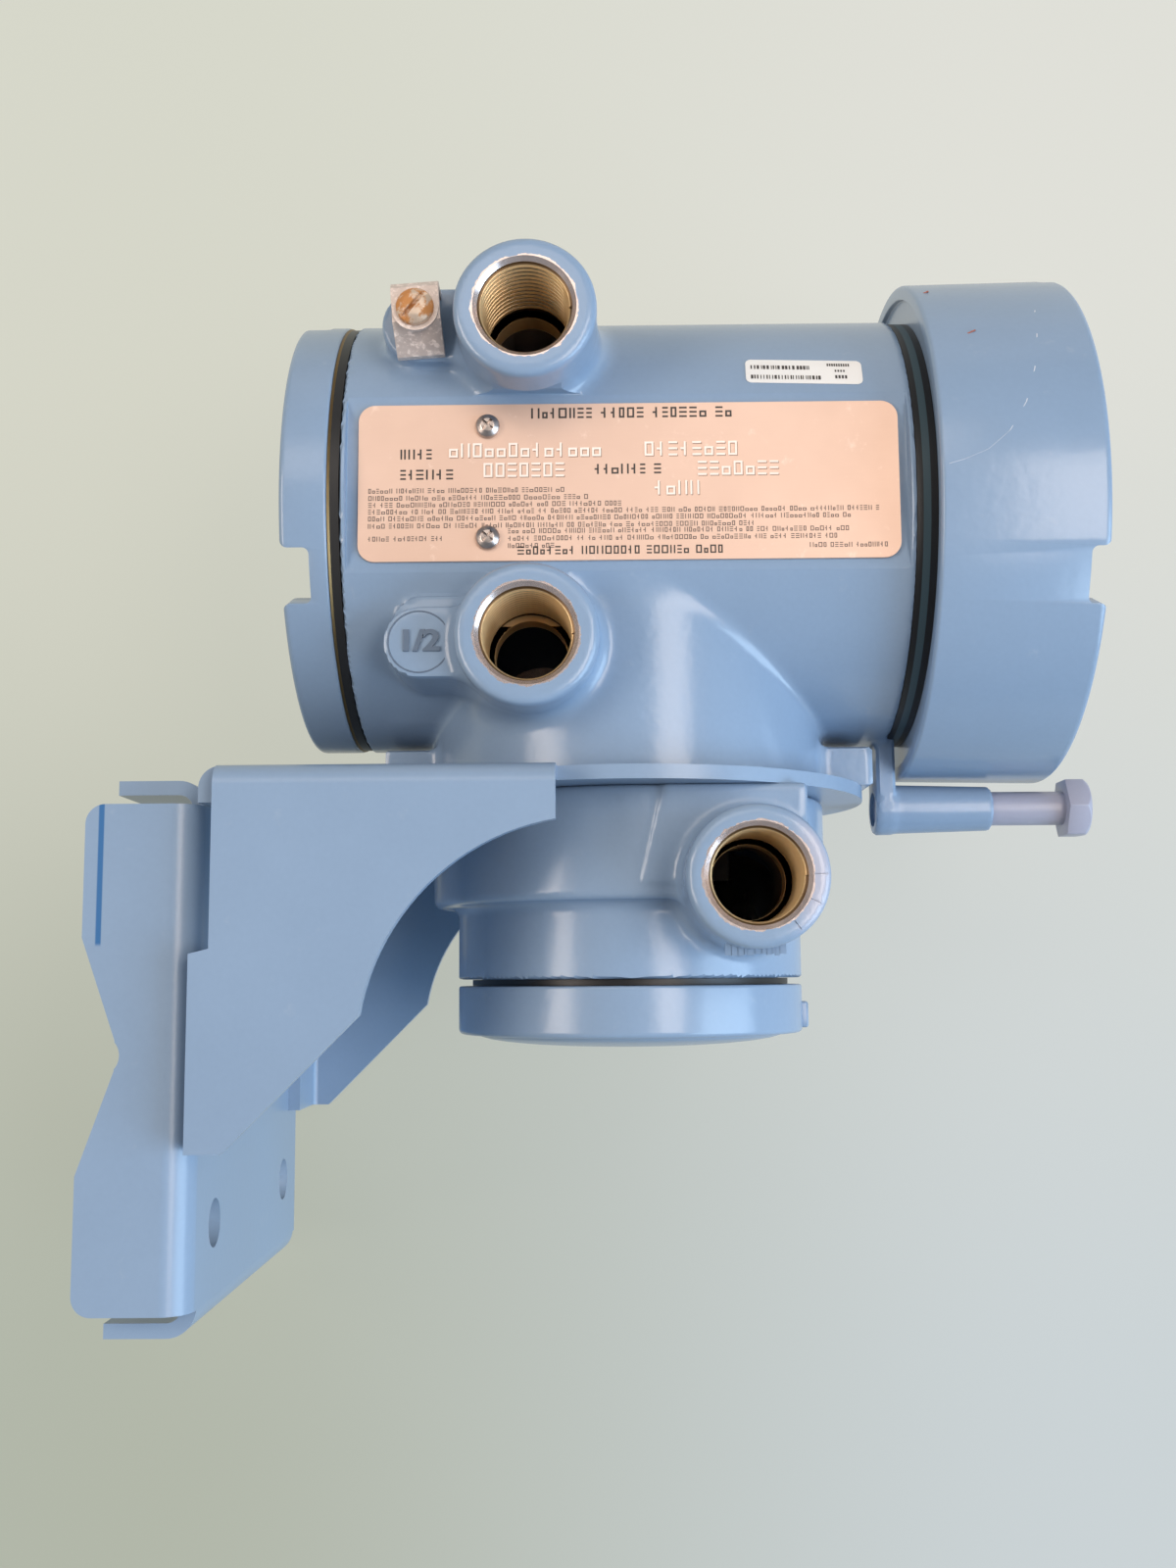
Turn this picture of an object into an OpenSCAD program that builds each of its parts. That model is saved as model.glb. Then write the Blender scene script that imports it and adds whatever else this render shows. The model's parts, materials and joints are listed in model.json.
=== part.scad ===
// Remote-mount transmitter of a coriolis flow meter: a cast aluminium barrel housing on a pedestal,
// a wiring housing below it, and a folded steel bracket welded to a wall and pipe saddle.
// Origin: centre of the four-bolt wall pattern, on the wall-side face of the saddle.
// +X points away from the wall along the barrel, -Y is the side with the conduit entries, +Z is up.

/* [Saddle] */
// Thickness of the saddle sheet
saddle_t = 3; // [2:0.1:4]
// Width of the saddle over its side flanges
saddle_w = 112; // [106:1:120]
// Height of the saddle over its top and bottom tabs
saddle_h = 112; // [106:1:136]
// Depth of the side flanges behind the wall-side face
flange_d = 20; // [17:0.5:26]
// Length of the side flanges along the saddle
flange_h = 101; // [90:1:104]
// Depth of the top and bottom tabs behind the wall-side face
tab_d = 15.5; // [12:0.5:17]
// Width of the top and bottom tabs
tab_w = 98; // [90:1:100]
// Height of the pipe notch in each flange
notch_h = 47; // [36:1:56]
// Depth of the pipe notch
notch_d = 8.2; // [5:0.1:10]
// Outer radius of the folds in the saddle
saddle_fold_r = 6; // [5:0.5:7]
// Radius of the corners of the side flanges
flange_corner_r = 4; // [2:0.5:6]
// Distance between the bolt holes, both ways
bolt_pitch = 71; // [64:0.5:76]
// Diameter of a bolt hole
bolt_hole_d = 10; // [8.5:0.1:12]

/* [Bracket] */
// Thickness of the bracket sheet
bracket_t = 3; // [2.5:0.1:3.5]
// Width of the bracket over its gussets
bracket_w = 124; // [120:1:132]
// Distance from the wall-side face to the axis of the pedestal
stem_reach = 91; // [88:0.5:96]
// Radius of the round end of the top plate
plate_r = 55; // [52:0.5:58]
// Depth of the straight front edge of each gusset below the top plate
gusset_lip = 11; // [8:0.5:14]
// How far the gussets stop short of the pedestal axis
gusset_back = 15.5; // [12:0.5:20]
// Radius of the hollow edge of each gusset
gusset_arc_r = 46.8; // [44:0.1:50]
// Distance from the wall-side face to the centre of that hollow
gusset_arc_x = 82.9; // [81:0.1:85]
// Height above the bolt centre at which the hollow meets the slanted foot
gusset_knee_z = 7.8; // [6:0.2:9]
// Bottom of the gussets below the bolt centre
gusset_drop = 18.8; // [14:0.2:24]
// Height above the bolt centre at which the gusset flanges end
gusset_flange_top = 20; // [16:0.5:22]
// Inward reach of the gusset flanges
gusset_flange_w = 21.5; // [16:0.5:26]
// Length of the fold at the wall end of the top plate
rear_fold_h = 7.5; // [7:0.5:35]
// Setback of the gussets beside that fold
relief_w = 4; // [3:0.5:5]
// Outer radius of the folds in the bracket
bracket_fold_r = 4.5; // [4:0.1:5.5]
// Radius of the wiring hole in the top plate
plate_hole_r = 24; // [20:0.5:25]

/* [Barrel housing] */
// Height of the barrel axis above the bolt centre
barrel_rise = 119.8; // [113:0.1:140]
// Outer radius of the barrel
barrel_r = 50.7; // [50:0.1:52]
// Wall end of the barrel, measured from the pedestal axis
barrel_left = 61.4; // [60:0.2:64]
// Display end of the barrel, measured from the pedestal axis
barrel_right = 60.8; // [59:0.2:61.4]
// Radius inside both compartments
bay_r = 43; // [42:0.1:43.4]
// Face of the dividing wall on the terminal side, from the pedestal axis
divider_x = -1; // [-2:0.5:0]
// Thickness of the dividing wall
divider_t = 8; // [7:0.5:9]
// Radius of the bore that takes the terminal cover
cover_bore_r = 45.3; // [45:0.1:46]
// Depth of that bore
cover_bore_depth = 13; // [12.6:0.2:15]
// Outer radius of the neck that takes the display cover
neck_r = 48; // [47:0.1:48.4]
// Length of that neck
neck_l = 19; // [16:0.5:20]
// Distance from the barrel axis to the flat for the nameplate
flat_y = 46.9; // [46.4:0.1:47.4]
// Rim left at each end of the flat
flat_rim = 1; // [0.5:0.1:2]
// Radius of the pedestal
pedestal_r = 46; // [45:0.5:47]
// Distance from the barrel axis to the top face of the bracket plate
pedestal_drop = 61.8; // [61.5:0.1:63]
// Length of the base ears over both ends
ear_l = 112; // [106:1:116]
// Width of the base ears
ear_w = 30; // [24:1:40]
// Height of the base ears
ear_h = 9; // [7:0.5:10]
// Radius of the cable passage in the pedestal
passage_r = 8; // [6:0.5:8.5]
// Distance of the cable passage from the pedestal axis
passage_x = 16; // [16:0.5:20]
// Distance of the ground screw in the terminal compartment below the barrel axis
inner_ground_drop = 32; // [28:0.5:34]

/* [Conduit entries] */
// Radius of the threaded wall of an entry, at its pitch line
entry_r = 9.9; // [9.6:0.05:10.2]
// Radius of the chamfer at the mouth of an entry
entry_mouth_r = 10.8; // [10.5:0.1:11.4]
// Threaded depth of an entry
entry_depth = 25; // [22:0.5:26]
// Radius of the plain hole behind the thread
entry_core_r = 8.1; // [7:0.1:8.6]
// Distance from the axis at which the plain hole ends, inside the compartment
entry_core_end = 12; // [4:0.5:16]
// Outer radius of an entry boss
boss_r = 15; // [14:0.1:16]
// Radius of a boss where it meets the casting
boss_root_r = 18; // [17:0.1:19]
// Distance of the two barrel entries from the pedestal axis, towards the wall
entry_x = 21.4; // [20:0.1:22.6]
// Height of the upper entry above the barrel axis
upper_entry_z = 32.9; // [31:0.1:34]
// Reach of the upper boss in front of the barrel axis
upper_entry_y = 62.6; // [62:0.1:64]
// Depth of the lower entry below the barrel axis
lower_entry_z = 34.9; // [34:0.1:36]
// Reach of the lower boss in front of the barrel axis
lower_entry_y = 57.6; // [57:0.1:60]
// Radius of the size tab beside the lower entry
tab_r = 7.6; // [7:0.1:8]
// Distance from the lower entry to the centre of its size tab
tab_gap = 22.9; // [22:0.1:24]
// Reach of the size tab in front of the barrel axis
tab_y = 49.5; // [48:0.1:51]
// Length of the flat outer edge of a boss
boss_edge = 2; // [1:0.1:3]
// Distance from a boss's face to the start of its flare
boss_flare = 12; // [8:0.5:14]

// Width of the casting's wall that goes with each conduit boss, outside the root of the boss
boss_zone_margin = 0.6; // [0.4:0.1:1]

// Distance from the barrel axis at which that wall ends
boss_zone_end = 24; // [22:0.5:26]

/* [Grounding lug] */
// Radius of the lug pad's round end
pad_r = 8.2; // [7.6:0.1:8.8]
// Distance from the upper entry to the lug screw
pad_gap = 23.4; // [23:0.1:24.5]
// Height of the lug screw above the barrel axis
pad_z = 35.6; // [34.5:0.1:37]
// Reach of the lug pad in front of the barrel axis
pad_y = 47.2; // [46:0.1:48.5]
// Width of the wire clamp
clamp_w = 10.2; // [9:0.1:11]
// Height of the wire clamp
clamp_h = 14.6; // [13:0.1:15]
// Stand-off of the clamp's front face from the pad
clamp_rise = 7.6; // [6:0.1:9]
// Thickness of the wire clamp
clamp_t = 1.6; // [1.2:0.1:2]
// Radius of the lug screw's head
lug_head_r = 4; // [3.8:0.1:4.6]
// Height of the lug screw's head
lug_head_h = 2.6; // [2:0.1:3.2]
// Radius of the washer under it
washer_r = 4.9; // [4.7:0.1:5]
// Thickness of the washer
washer_t = 0.9; // [0.6:0.1:1.2]
// Grip of the lug screw in the pad
lug_grip = 10; // [8:0.5:11]
// Depth of the hole for it
lug_hole_depth = 11; // [11:0.5:12]

/* [Cover lock] */
// Distance from the barrel axis to the lock bolt
lock_drop = 65.9; // [65.7:0.1:67]
// Radius of the lock bolt's shank
lock_r = 4; // [3:0.1:4.2]
// Width across flats of the lock bolt's head
lock_flats = 13; // [12:0.1:14]
// Height of the lock bolt's head
lock_head_h = 5.5; // [5:0.1:6.5]
// Distance from the pedestal axis to the under side of that head
lock_seat_x = 103; // [102.8:0.1:105]
// Length of the lock bolt's shank
lock_l = 44; // [38:0.5:44]
// Thickness of the cast plate that carries the lock
lug_t = 4.4; // [4:0.1:5]
// Outer radius of the lock boss at the plate
lock_boss_r = 5.9; // [5.7:0.1:6]
// Outer radius of the lock boss at its end
lock_boss_tip_r = 5.2; // [5:0.1:5.6]
// Length of the lock boss
lock_boss_l = 23; // [20:0.5:25]

/* [Terminal cover] */
// Distance from the pedestal axis to the skirt of the cover
terminal_cover_x = 64; // [63.9:0.1:65]
// Thickness of the cover's flange
terminal_flange_t = 4; // [3.6:0.1:5]
// Length of the castle ring on the cover
terminal_ring_h = 6.3; // [5:0.1:7]
// Inner radius of the castle ring
terminal_ring_r = 43; // [41:0.2:45]
// Length of the threaded spigot
terminal_spigot_l = 12; // [10:0.2:12.4]

/* [Display cover] */
// Distance from the pedestal axis to the rim of the cover
display_cover_x = 64.2; // [63.4:0.1:65]
// Length of the cover
display_cover_l = 35.1; // [34.6:0.1:35.6]
// Outer radius at the rim
display_rim_r = 58.9; // [58.4:0.1:59]
// Outer radius at the outer end
display_end_r = 59.5; // [59.1:0.1:59.6]
// Inner radius of the step at the rim
rim_step_r = 55.7; // [55:0.1:56.2]
// Depth of the step at the rim
rim_step_d = 1.2; // [0.8:0.1:1.6]
// Depth of the castle notches
castle_d = 4.2; // [3.6:0.1:5]
// Inner radius of the castle ring
castle_r = 52; // [50:0.2:53]
// Radius of the window opening
window_r = 36.5; // [32:0.5:37.5]
// Radius of the window glass
glass_r = 41; // [40:0.2:42]
// Thickness of the window glass
glass_t = 6; // [5:0.2:7]
// Thickness of the window gasket
gasket_t = 1; // [0.8:0.1:1.2]
// Thickness of the retaining ring behind the glass
retainer_t = 3.2; // [2.6:0.1:3.4]
// Thickness of the lip in front of the glass
window_lip = 3; // [2.6:0.1:3.4]

/* [Castle notches] */
// Notches around each threaded cover
castle_count = 4; // [2:1:6]
// Width of a notch
castle_w = 12; // [10:0.5:14]
// Turn of the notches below the level of the axis
castle_turn = 23; // [15:1:30]

/* [Wiring housing] */
// Outer radius of the upper drum
drum_r = 45.8; // [45:0.1:46]

// Flat-faced block behind the wiring entry: where it starts along X
wire_block_x = -1; // [-3:0.5:1]

// How far that block ends inside the drum's side
wire_block_inset = 9; // [8:0.5:10]

// How far its face stands out before the drum
wire_block_proud = 0.6; // [0.4:0.1:0.8]

// Distance of its back from the axis
wire_block_back = 20; // [18:0.5:22]
// Length of the upper drum
drum_h = 24; // [23:0.2:26]
// Outer radius of the lower cylinder and its cover
wire_r = 40; // [39.6:0.1:41]
// Distance from the bracket plate to the lower end
wire_h = 40.5; // [40:0.1:42]
// Thickness of the top wall
wire_top_t = 7.2; // [6:0.1:8]
// Radius inside the wiring housing
wire_bay_r = 36; // [35.4:0.1:36.4]
// Radius of the bore that takes the cover
wire_bore_r = 34.9; // [34.4:0.1:35.2]
// Depth of that bore
wire_bore_depth = 10; // [9.4:0.1:11]
// Radius of the wiring hole in the top wall
wire_hole_r = 18; // [14:0.5:19]
// Distance of the wiring entry from the pedestal axis
wire_entry_x = 24.6; // [24:0.1:25.4]
// Depth of the wiring entry below the bracket plate
wire_entry_z = 20.4; // [20:0.1:21]
// Reach of its boss in front of the pedestal axis
wire_entry_y = 62.7; // [62.2:0.1:64]
// Outer radius of its boss
wire_boss_r = 14.4; // [13.8:0.1:15]

/* [Wiring cover] */
// Gap for the seal above the cover
wire_seal_h = 1.5; // [1.2:0.1:2]
// Height of the cover's rim
wire_rim_h = 11; // [10:0.2:12]
// Rise of the domed end
wire_dome_h = 3; // [2:0.2:4]
// Length of the threaded spigot
wire_spigot_l = 8.5; // [7:0.1:9]
// Wall under the cover's hollow
wire_floor_t = 4; // [3:0.2:5]

/* [Nameplate] */
// Length of the nameplate
plate_l = 115.4; // [110:0.2:118]
// Height of the nameplate
plate_h = 34.4; // [32:0.2:36]
// Thickness of the nameplate
plate_t = 0.8; // [0.5:0.1:1]
// Corner radius of the nameplate
plate_corner = 3.6; // [2:0.2:5]
// Distance between the plate screws
plate_screw_gap = 24.5; // [22:0.1:26]
// Distance of the plate screws from the pedestal axis, towards the wall
plate_screw_x = 30; // [28:0.2:32]
// Radius of a plate screw's head
plate_head_r = 2.6; // [2.2:0.1:3]
// Height of a plate screw's head
plate_head_h = 1.7; // [1.4:0.1:2]
// Radius of a plate screw's shank
plate_shank_r = 1.5; // [1.2:0.1:1.7]
// Grip of a plate screw in the casting
plate_grip = 3; // [2.4:0.1:3.2]
// Length of the sticker
sticker_l = 25.6; // [20:0.2:26]
// Height of the sticker
sticker_h = 6.6; // [5:0.1:7]
// Thickness of the sticker
sticker_t = 0.2; // [0.1:0.05:0.3]
// Distance of the sticker's centre from the pedestal axis
sticker_x = 38.4; // [36:0.2:42]
// Height of the sticker's centre above the barrel axis
sticker_z = 25.3; // [23:0.1:28]
// Slope of the sticker
sticker_tilt = 1.9; // [0:0.1:3]

/* [Inside] */
// Thickness of the terminal block
block_t = 11; // [9:0.5:12]
// Length of the terminal block
block_l = 64; // [58:1:68]
// Height of the terminal block
block_h = 26; // [22:1:28]
// Terminals in a row
terminal_count = 6; // [4:1:6]
// Height of the terminal screws above the middle of the block
terminal_z = 4; // [3:0.5:5]
// Radius of the shank of a terminal screw
terminal_r = 2; // [1.5:0.1:2.2]
// Radius of the head of a terminal screw
terminal_head_r = 3.6; // [3.2:0.1:3.8]
// Height of the head of a terminal screw
terminal_head_h = 2.2; // [2:0.1:2.6]
// Height of the wire mouths
mouth_h = 9; // [6:0.5:10]
// Depth of the wire mouths
mouth_d = 5; // [4:0.5:6]
// Radius of the electronics module
module_r = 42; // [41:0.2:42.6]
// Length of the electronics module
module_l = 53; // [48:0.5:55]
// Radius on which the module screws lie
module_screw_pcr = 34; // [33:0.2:35]
// Outer radius of the display bezel
bezel_r = 41; // [40.5:0.1:41.5]
// Depth of the display bezel
bezel_d = 12; // [11:0.2:13]
// Thickness of the bezel's face and skirt
bezel_t = 2; // [1.6:0.1:2.4]
// Width of the display
lcd_w = 50; // [44:0.5:52]
// Height of the display
lcd_h = 24; // [20:0.5:26]
// Height of the display's middle above the barrel axis
lcd_z = 4; // [2:0.5:5]
// Rim of the display behind the bezel
lcd_rim = 2; // [1:0.5:3]
// Thickness of the display board
board_t = 1.6; // [1.2:0.1:2]
// Radius of the display board
board_r = 28; // [26:0.5:29]
// Radius of an optical sensor
sensor_r = 3.2; // [2.6:0.1:3.6]
// Distance between the optical sensors
sensor_gap = 20; // [16:0.5:24]
// Distance of the optical sensors below the barrel axis
sensor_drop = 18; // [16:0.5:20]
// Length of the wiring block
wire_block_l = 46; // [40:1:48]
// Width of the wiring block
wire_block_w = 17; // [14:0.5:18]
// Height of the wiring block
wire_block_h = 11; // [9:0.5:12]
// Distance between the wiring screws along the block
wire_screw_pitch = 10; // [9:0.5:11]
// Distance between the two rows of wiring screws
wire_row_gap = 8; // [7:0.5:9]
// Radius of the shank of a wiring screw
wire_screw_r = 1.6; // [1.2:0.1:2]
// Radius of the head of a wiring screw
wire_screw_head_r = 2.8; // [2.4:0.1:3.2]
// Height of the head of a wiring screw
wire_screw_head_h = 1.6; // [1.2:0.1:2]

/* [Screws] */
// Radius of the shank of the metric 5 screws
m5_r = 2.5; // [2:0.1:2.6]
// Radius of their heads
m5_head_r = 4.25; // [4:0.05:4.5]
// Height of their heads
m5_head_h = 5; // [4:0.1:5.2]
// Height of the low heads of the module screws and the inner ground screw
m5_low_head_h = 3; // [2.6:0.1:3.4]
// Width across the hexagon in a base screw's head
m5_flats = 4; // [3:0.1:4.5]
// Depth of the module screws and the inner ground screw in the dividing wall
wall_grip = 5; // [4:0.2:5.4]
// Width of the screw slots
slot_w = 1.2; // [0.8:0.1:1.4]
// Depth of the screw slots
slot_d = 1.2; // [0.8:0.1:1.4]
// Radius on which the four base screws lie
base_pcr = 30; // [29.4:0.2:30.6]
// Depth of the base screws in the pedestal
base_grip = 8; // [6:0.2:8.4]

/* [Fits] */
// Radial clearance of screw threads and plain holes around their screws
screw_fit = 0.1; // [0.05:0.05:0.2]
// Radial clearance of the cover threads
thread_fit = 0.3; // [0.2:0.05:0.4]
// Radial clearance of the lock bolt and the seals
running_fit = 0.05; // [0.02:0.01:0.1]
// Gap between a seal and the faces that it turns against
seal_gap = 0.1; // [0.05:0.05:0.2]
// Gap between pieces that stand beside each other
clearance = 0.3; // [0.2:0.05:0.4]

/* [Hidden] */
$fn = 96;
EPS = 0.01;

// Heights in the barrel's frame, whose origin is where the barrel and pedestal axes cross
plate_top = -pedestal_drop;
plate_bottom = plate_top - bracket_t;
wire_entry_height = plate_bottom - wire_entry_z;
drum_bottom = plate_bottom - drum_h;
wire_bottom = plate_bottom - wire_h;
wire_ceiling = plate_bottom - wire_top_t;
wire_cover_top = wire_bottom - wire_seal_h;
electronics_x = divider_x + divider_t;
neck_end = barrel_right + neck_l;
module_end = electronics_x + module_l;
display_cover_end = display_cover_x + display_cover_l;
castle_floor = display_cover_end - castle_d;
glass_front = castle_floor - window_lip - gasket_t;
retainer_back = glass_front - glass_t - retainer_t;
bezel_front = module_end + bezel_d;
board_front = module_end + board_t;
terminal_pitch = block_l / terminal_count;
upper_entry = [-entry_x, -upper_entry_y, upper_entry_z];
lower_entry = [-entry_x, -lower_entry_y, -lower_entry_z];
wire_entry = [wire_entry_x, -wire_entry_y, wire_entry_height];
passage_end = -bay_r + passage_r;
upper_boss_end = 6;
lower_boss_end = 12;
wire_boss_end = 22;
tab_back = 24;
pad_back = 15;
lug_screw_x = -entry_x - pad_gap;
clamp_face = -pad_y - clamp_rise;
lug_plate_x = barrel_right + 2 - lug_t;
lock_boss_x = lug_plate_x + lug_t;

// ---- placing helpers ----

// Moves the barrel's frame to its place in front of the wall
module on_stem() {
    translate([stem_reach, 0, barrel_rise]) children();
}

// Rod along X from one station to another
module rod_x(from, to, r, r_to = undef) {
    translate([from, 0, 0]) rotate([0, 90, 0])
        cylinder(h = to - from, r1 = r, r2 = is_undef(r_to) ? r : r_to);
}

// Ring along X
module ring_x(from, to, outer, inner) {
    difference() {
        rod_x(from, to, outer);
        rod_x(from - 1, to + 1, inner);
    }
}

// Rod along Y from a point, running backwards into the part
module rod_y(at, length, r, r_to = undef) {
    translate(at) rotate([-90, 0, 0])
        cylinder(h = length, r1 = r, r2 = is_undef(r_to) ? r : r_to);
}

// Rod along Z
module rod_z(bottom, top, r, r_to = undef) {
    translate([0, 0, bottom]) cylinder(h = top - bottom, r1 = r, r2 = is_undef(r_to) ? r : r_to);
}

// Box between two corners
module block(low, high) {
    translate(low) cube(high - low);
}

// Copies around the Z axis
module around_z(count, r, turn = 0) {
    for (i = [0:count - 1])
        rotate([0, 0, turn + i * 360 / count]) translate([r, 0, 0]) children();
}

// Copies around the X axis
module around_x(count, r, turn = 0) {
    for (i = [0:count - 1])
        rotate([turn + i * 360 / count, 0, 0]) translate([0, r, 0]) children();
}

// Flat outline with four round corners
module rounded_rect(size, r) {
    translate([r, 0]) square([size.x - 2 * r, size.y]);
    translate([0, r]) square([size.x, size.y - 2 * r]);
    for (x = [r, size.x - r], y = [r, size.y - r]) translate([x, y]) circle(r);
}

// Threaded hole of a conduit entry: chamfer, thread wall and plain core
module entry_hole(at) {
    chamfer = entry_mouth_r - entry_r;
    rod_y(at - [0, 1, 0], 1 + EPS, entry_mouth_r);
    rod_y(at, chamfer, entry_mouth_r, entry_r);
    rod_y(at, entry_depth, entry_r);
    rod_y(at, -at.y - entry_core_end, entry_core_r);
}

// Boss of a conduit entry, flaring towards the casting
module entry_boss(at, end, r, root_r) {
    length = -at.y - end;
    rod_y(at, boss_edge, r - boss_edge * 0.6, r);
    rod_y(at + [0, boss_edge, 0], length - boss_edge, r);
    rod_y(at + [0, boss_flare, 0], length - boss_flare, r, root_r);
}

// Bar with one round end that joins a boss from its wall side
module boss_tab(x_end, x_boss, z, y_front, y_back, r) {
    rod_y([x_end, -y_front, z], y_front - y_back, r);
    block([x_end, -y_front, z - r], [x_boss, -y_back, z + r]);
}

// Castle notches cut into a ring that lies on the X axis
module castle_notches(from, to, outer, inner) {
    around_x(castle_count, 0, 180 + castle_turn)
        block([from, inner - 2, -castle_w / 2], [to, outer + 2, castle_w / 2]);
}

// ---- castings ----

module barrel_solid() {
    rod_x(-barrel_left, barrel_right, barrel_r);
    rod_x(barrel_right - 1, neck_end, neck_r);
    rod_z(plate_top, 0, pedestal_r);
    // Base ears
    block([-ear_l / 2, -ear_w / 2, plate_top], [ear_l / 2, ear_w / 2, plate_top + ear_h]);
    // Conduit bosses, with the size tab and the lug pad
    entry_boss(upper_entry, upper_boss_end, boss_r, boss_root_r);
    entry_boss(lower_entry, lower_boss_end, boss_r, boss_root_r);
    boss_tab(-entry_x - tab_gap, -entry_x, -lower_entry_z, tab_y, tab_back, tab_r);
    boss_tab(lug_screw_x, -entry_x, pad_z, pad_y, pad_back, pad_r);
    // Lock plate and boss
    translate([lug_plate_x, 0, 0]) rotate([90, 0, 90]) linear_extrude(lug_t) {
        translate([0, -lock_drop]) circle(lock_boss_r);
        translate([-lock_boss_r, -lock_drop]) square([2 * lock_boss_r, lock_drop - barrel_r + 4]);
    }
    translate([0, 0, -lock_drop])
        rod_x(lug_plate_x, lock_boss_x + lock_boss_l, lock_boss_r, lock_boss_tip_r);
}

// The whole main casting, with its bosses and holes
module main_casting() {
    difference() {
        barrel_solid();
        // Terminal compartment and the bore for its cover
        rod_x(-barrel_left + 1, divider_x, bay_r);
        rod_x(-barrel_left - 1, -barrel_left + cover_bore_depth, cover_bore_r);
        // Electronics compartment
        rod_x(electronics_x, neck_end + 1, bay_r);
        // Seat of the display seal beside the lock plate
        ring_x(barrel_right, display_cover_x + rim_step_d, barrel_r, neck_r);
        // Flat for the nameplate
        block([-barrel_left + flat_rim, -barrel_r - 1, -flat_z()],
              [barrel_right - flat_rim, -flat_y, flat_z()]);
        entry_hole(upper_entry);
        entry_hole(lower_entry);
        // Cable passage and base screw holes
        translate([passage_x, 0, 0]) rod_z(plate_top - 1, passage_end, passage_r);
        around_z(4, base_pcr, 45) rod_z(plate_top - 1, plate_top + base_grip, m5_r + screw_fit);
        // Lug screw, plate screws, module screws, ground screw and lock bolt
        rod_y([lug_screw_x, -pad_y - 1, pad_z], 1 + lug_hole_depth, m5_r + screw_fit);
        for (z = plate_screw_z())
            rod_y([-plate_screw_x, -flat_y - 1, z], 1 + plate_grip + clearance, plate_shank_r + screw_fit);
        around_x(3, module_screw_pcr, 90)
            rod_x(electronics_x - wall_grip, electronics_x + 1, m5_r + screw_fit);
        translate([0, 0, -inner_ground_drop])
            rod_x(divider_x - 1, divider_x + wall_grip, m5_r + screw_fit);
        translate([0, 0, -lock_drop])
            rod_x(lug_plate_x - 1, lock_boss_x + lock_boss_l + 1, lock_r + running_fit);
    }
}

// Round zone of the casting around one conduit entry
module boss_zone(at) {
    rod_y(at - [0, 1, 0], 1 - at.y - boss_zone_end, boss_root_r + boss_zone_margin);
}

// The casting is one piece; each conduit boss is a node of its own, so that its bore stays open in collision
module main_housing() {
    color("#7f9cbf") on_stem() difference() {
        main_casting();
        boss_zone(upper_entry);
        boss_zone(lower_entry);
    }
}

module upper_entry_boss() {
    color("#7f9cbf") on_stem() intersection() {
        main_casting();
        boss_zone(upper_entry);
    }
}

module lower_entry_boss() {
    color("#7f9cbf") on_stem() intersection() {
        main_casting();
        boss_zone(lower_entry);
    }
}

// Half height of the flat where it meets the barrel
function flat_z() = sqrt(barrel_r * barrel_r - flat_y * flat_y) + 0.5;

// Heights of the two plate screws
function plate_screw_z() = [-plate_screw_gap / 2, plate_screw_gap / 2];

module wiring_housing() {
    cone_h = 3;
    block_x = [wire_block_x, drum_r - wire_block_inset];
    block_y = [-drum_r - wire_block_proud, -wire_block_back];
    color("#7f9cbf") on_stem() difference() {
        union() {
            rod_z(drum_bottom, plate_bottom, drum_r);
            rod_z(drum_bottom - cone_h, drum_bottom, wire_r + 1.5, drum_r);
            rod_z(wire_bottom, plate_bottom, wire_r);
            // Flat-faced block that carries the entry boss
            block([block_x[0], block_y[0], drum_bottom + cone_h], [block_x[1], block_y[1], plate_bottom]);
            entry_boss(wire_entry, wire_boss_end, wire_boss_r, wire_boss_r + 1.4);
        }
        rod_z(wire_bottom - 1, wire_ceiling, wire_bore_r);
        rod_z(wire_bottom + wire_bore_depth, wire_ceiling, wire_bay_r);
        rod_z(wire_ceiling - 1, plate_bottom + 1, wire_hole_r);
        entry_hole(wire_entry);
        around_z(4, base_pcr, 45) rod_z(wire_ceiling - 1, plate_bottom + 1, m5_r + clearance);
    }
}

// ---- covers and seals ----

module terminal_cover() {
    floor_x = -terminal_cover_x - terminal_flange_t;
    end_x = floor_x - terminal_ring_h;
    spigot_r = cover_bore_r - thread_fit;
    spigot_wall = 4;
    color("#7f9cbf") on_stem() difference() {
        union() {
            rod_x(end_x, -terminal_cover_x, barrel_r);
            rod_x(-terminal_cover_x - 1, -terminal_cover_x + terminal_spigot_l, spigot_r);
        }
        rod_x(end_x - 1, floor_x, terminal_ring_r);
        rod_x(-terminal_cover_x, -terminal_cover_x + terminal_spigot_l + 1, spigot_r - spigot_wall);
        castle_notches(end_x - 1, floor_x, barrel_r, terminal_ring_r);
    }
}

module terminal_cover_seal() {
    color("#161616") on_stem()
        ring_x(-terminal_cover_x + seal_gap, -barrel_left - seal_gap,
               barrel_r - 0.5, cover_bore_r - thread_fit + running_fit);
}

module display_cover() {
    color("#7f9cbf") on_stem() difference() {
        rod_x(display_cover_x, display_cover_end, display_rim_r, display_end_r);
        rod_x(display_cover_x - 1, display_cover_x + rim_step_d, rim_step_r);
        rod_x(display_cover_x - 1, retainer_back, neck_r + thread_fit);
        rod_x(retainer_back - 1, glass_front + gasket_t, glass_r + screw_fit);
        rod_x(retainer_back - 1, display_cover_end + 1, window_r);
        rod_x(castle_floor, display_cover_end + 1, castle_r);
        castle_notches(castle_floor, display_cover_end + 1, display_end_r, castle_r);
    }
}

module display_cover_seal() {
    color("#161616") on_stem()
        ring_x(barrel_right + seal_gap, display_cover_x + rim_step_d - seal_gap,
               barrel_r - 0.4, neck_r + running_fit);
}

module window_glass() {
    color("#cfe6ea", 0.4) on_stem() rod_x(glass_front - glass_t, glass_front, glass_r);
}

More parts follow.
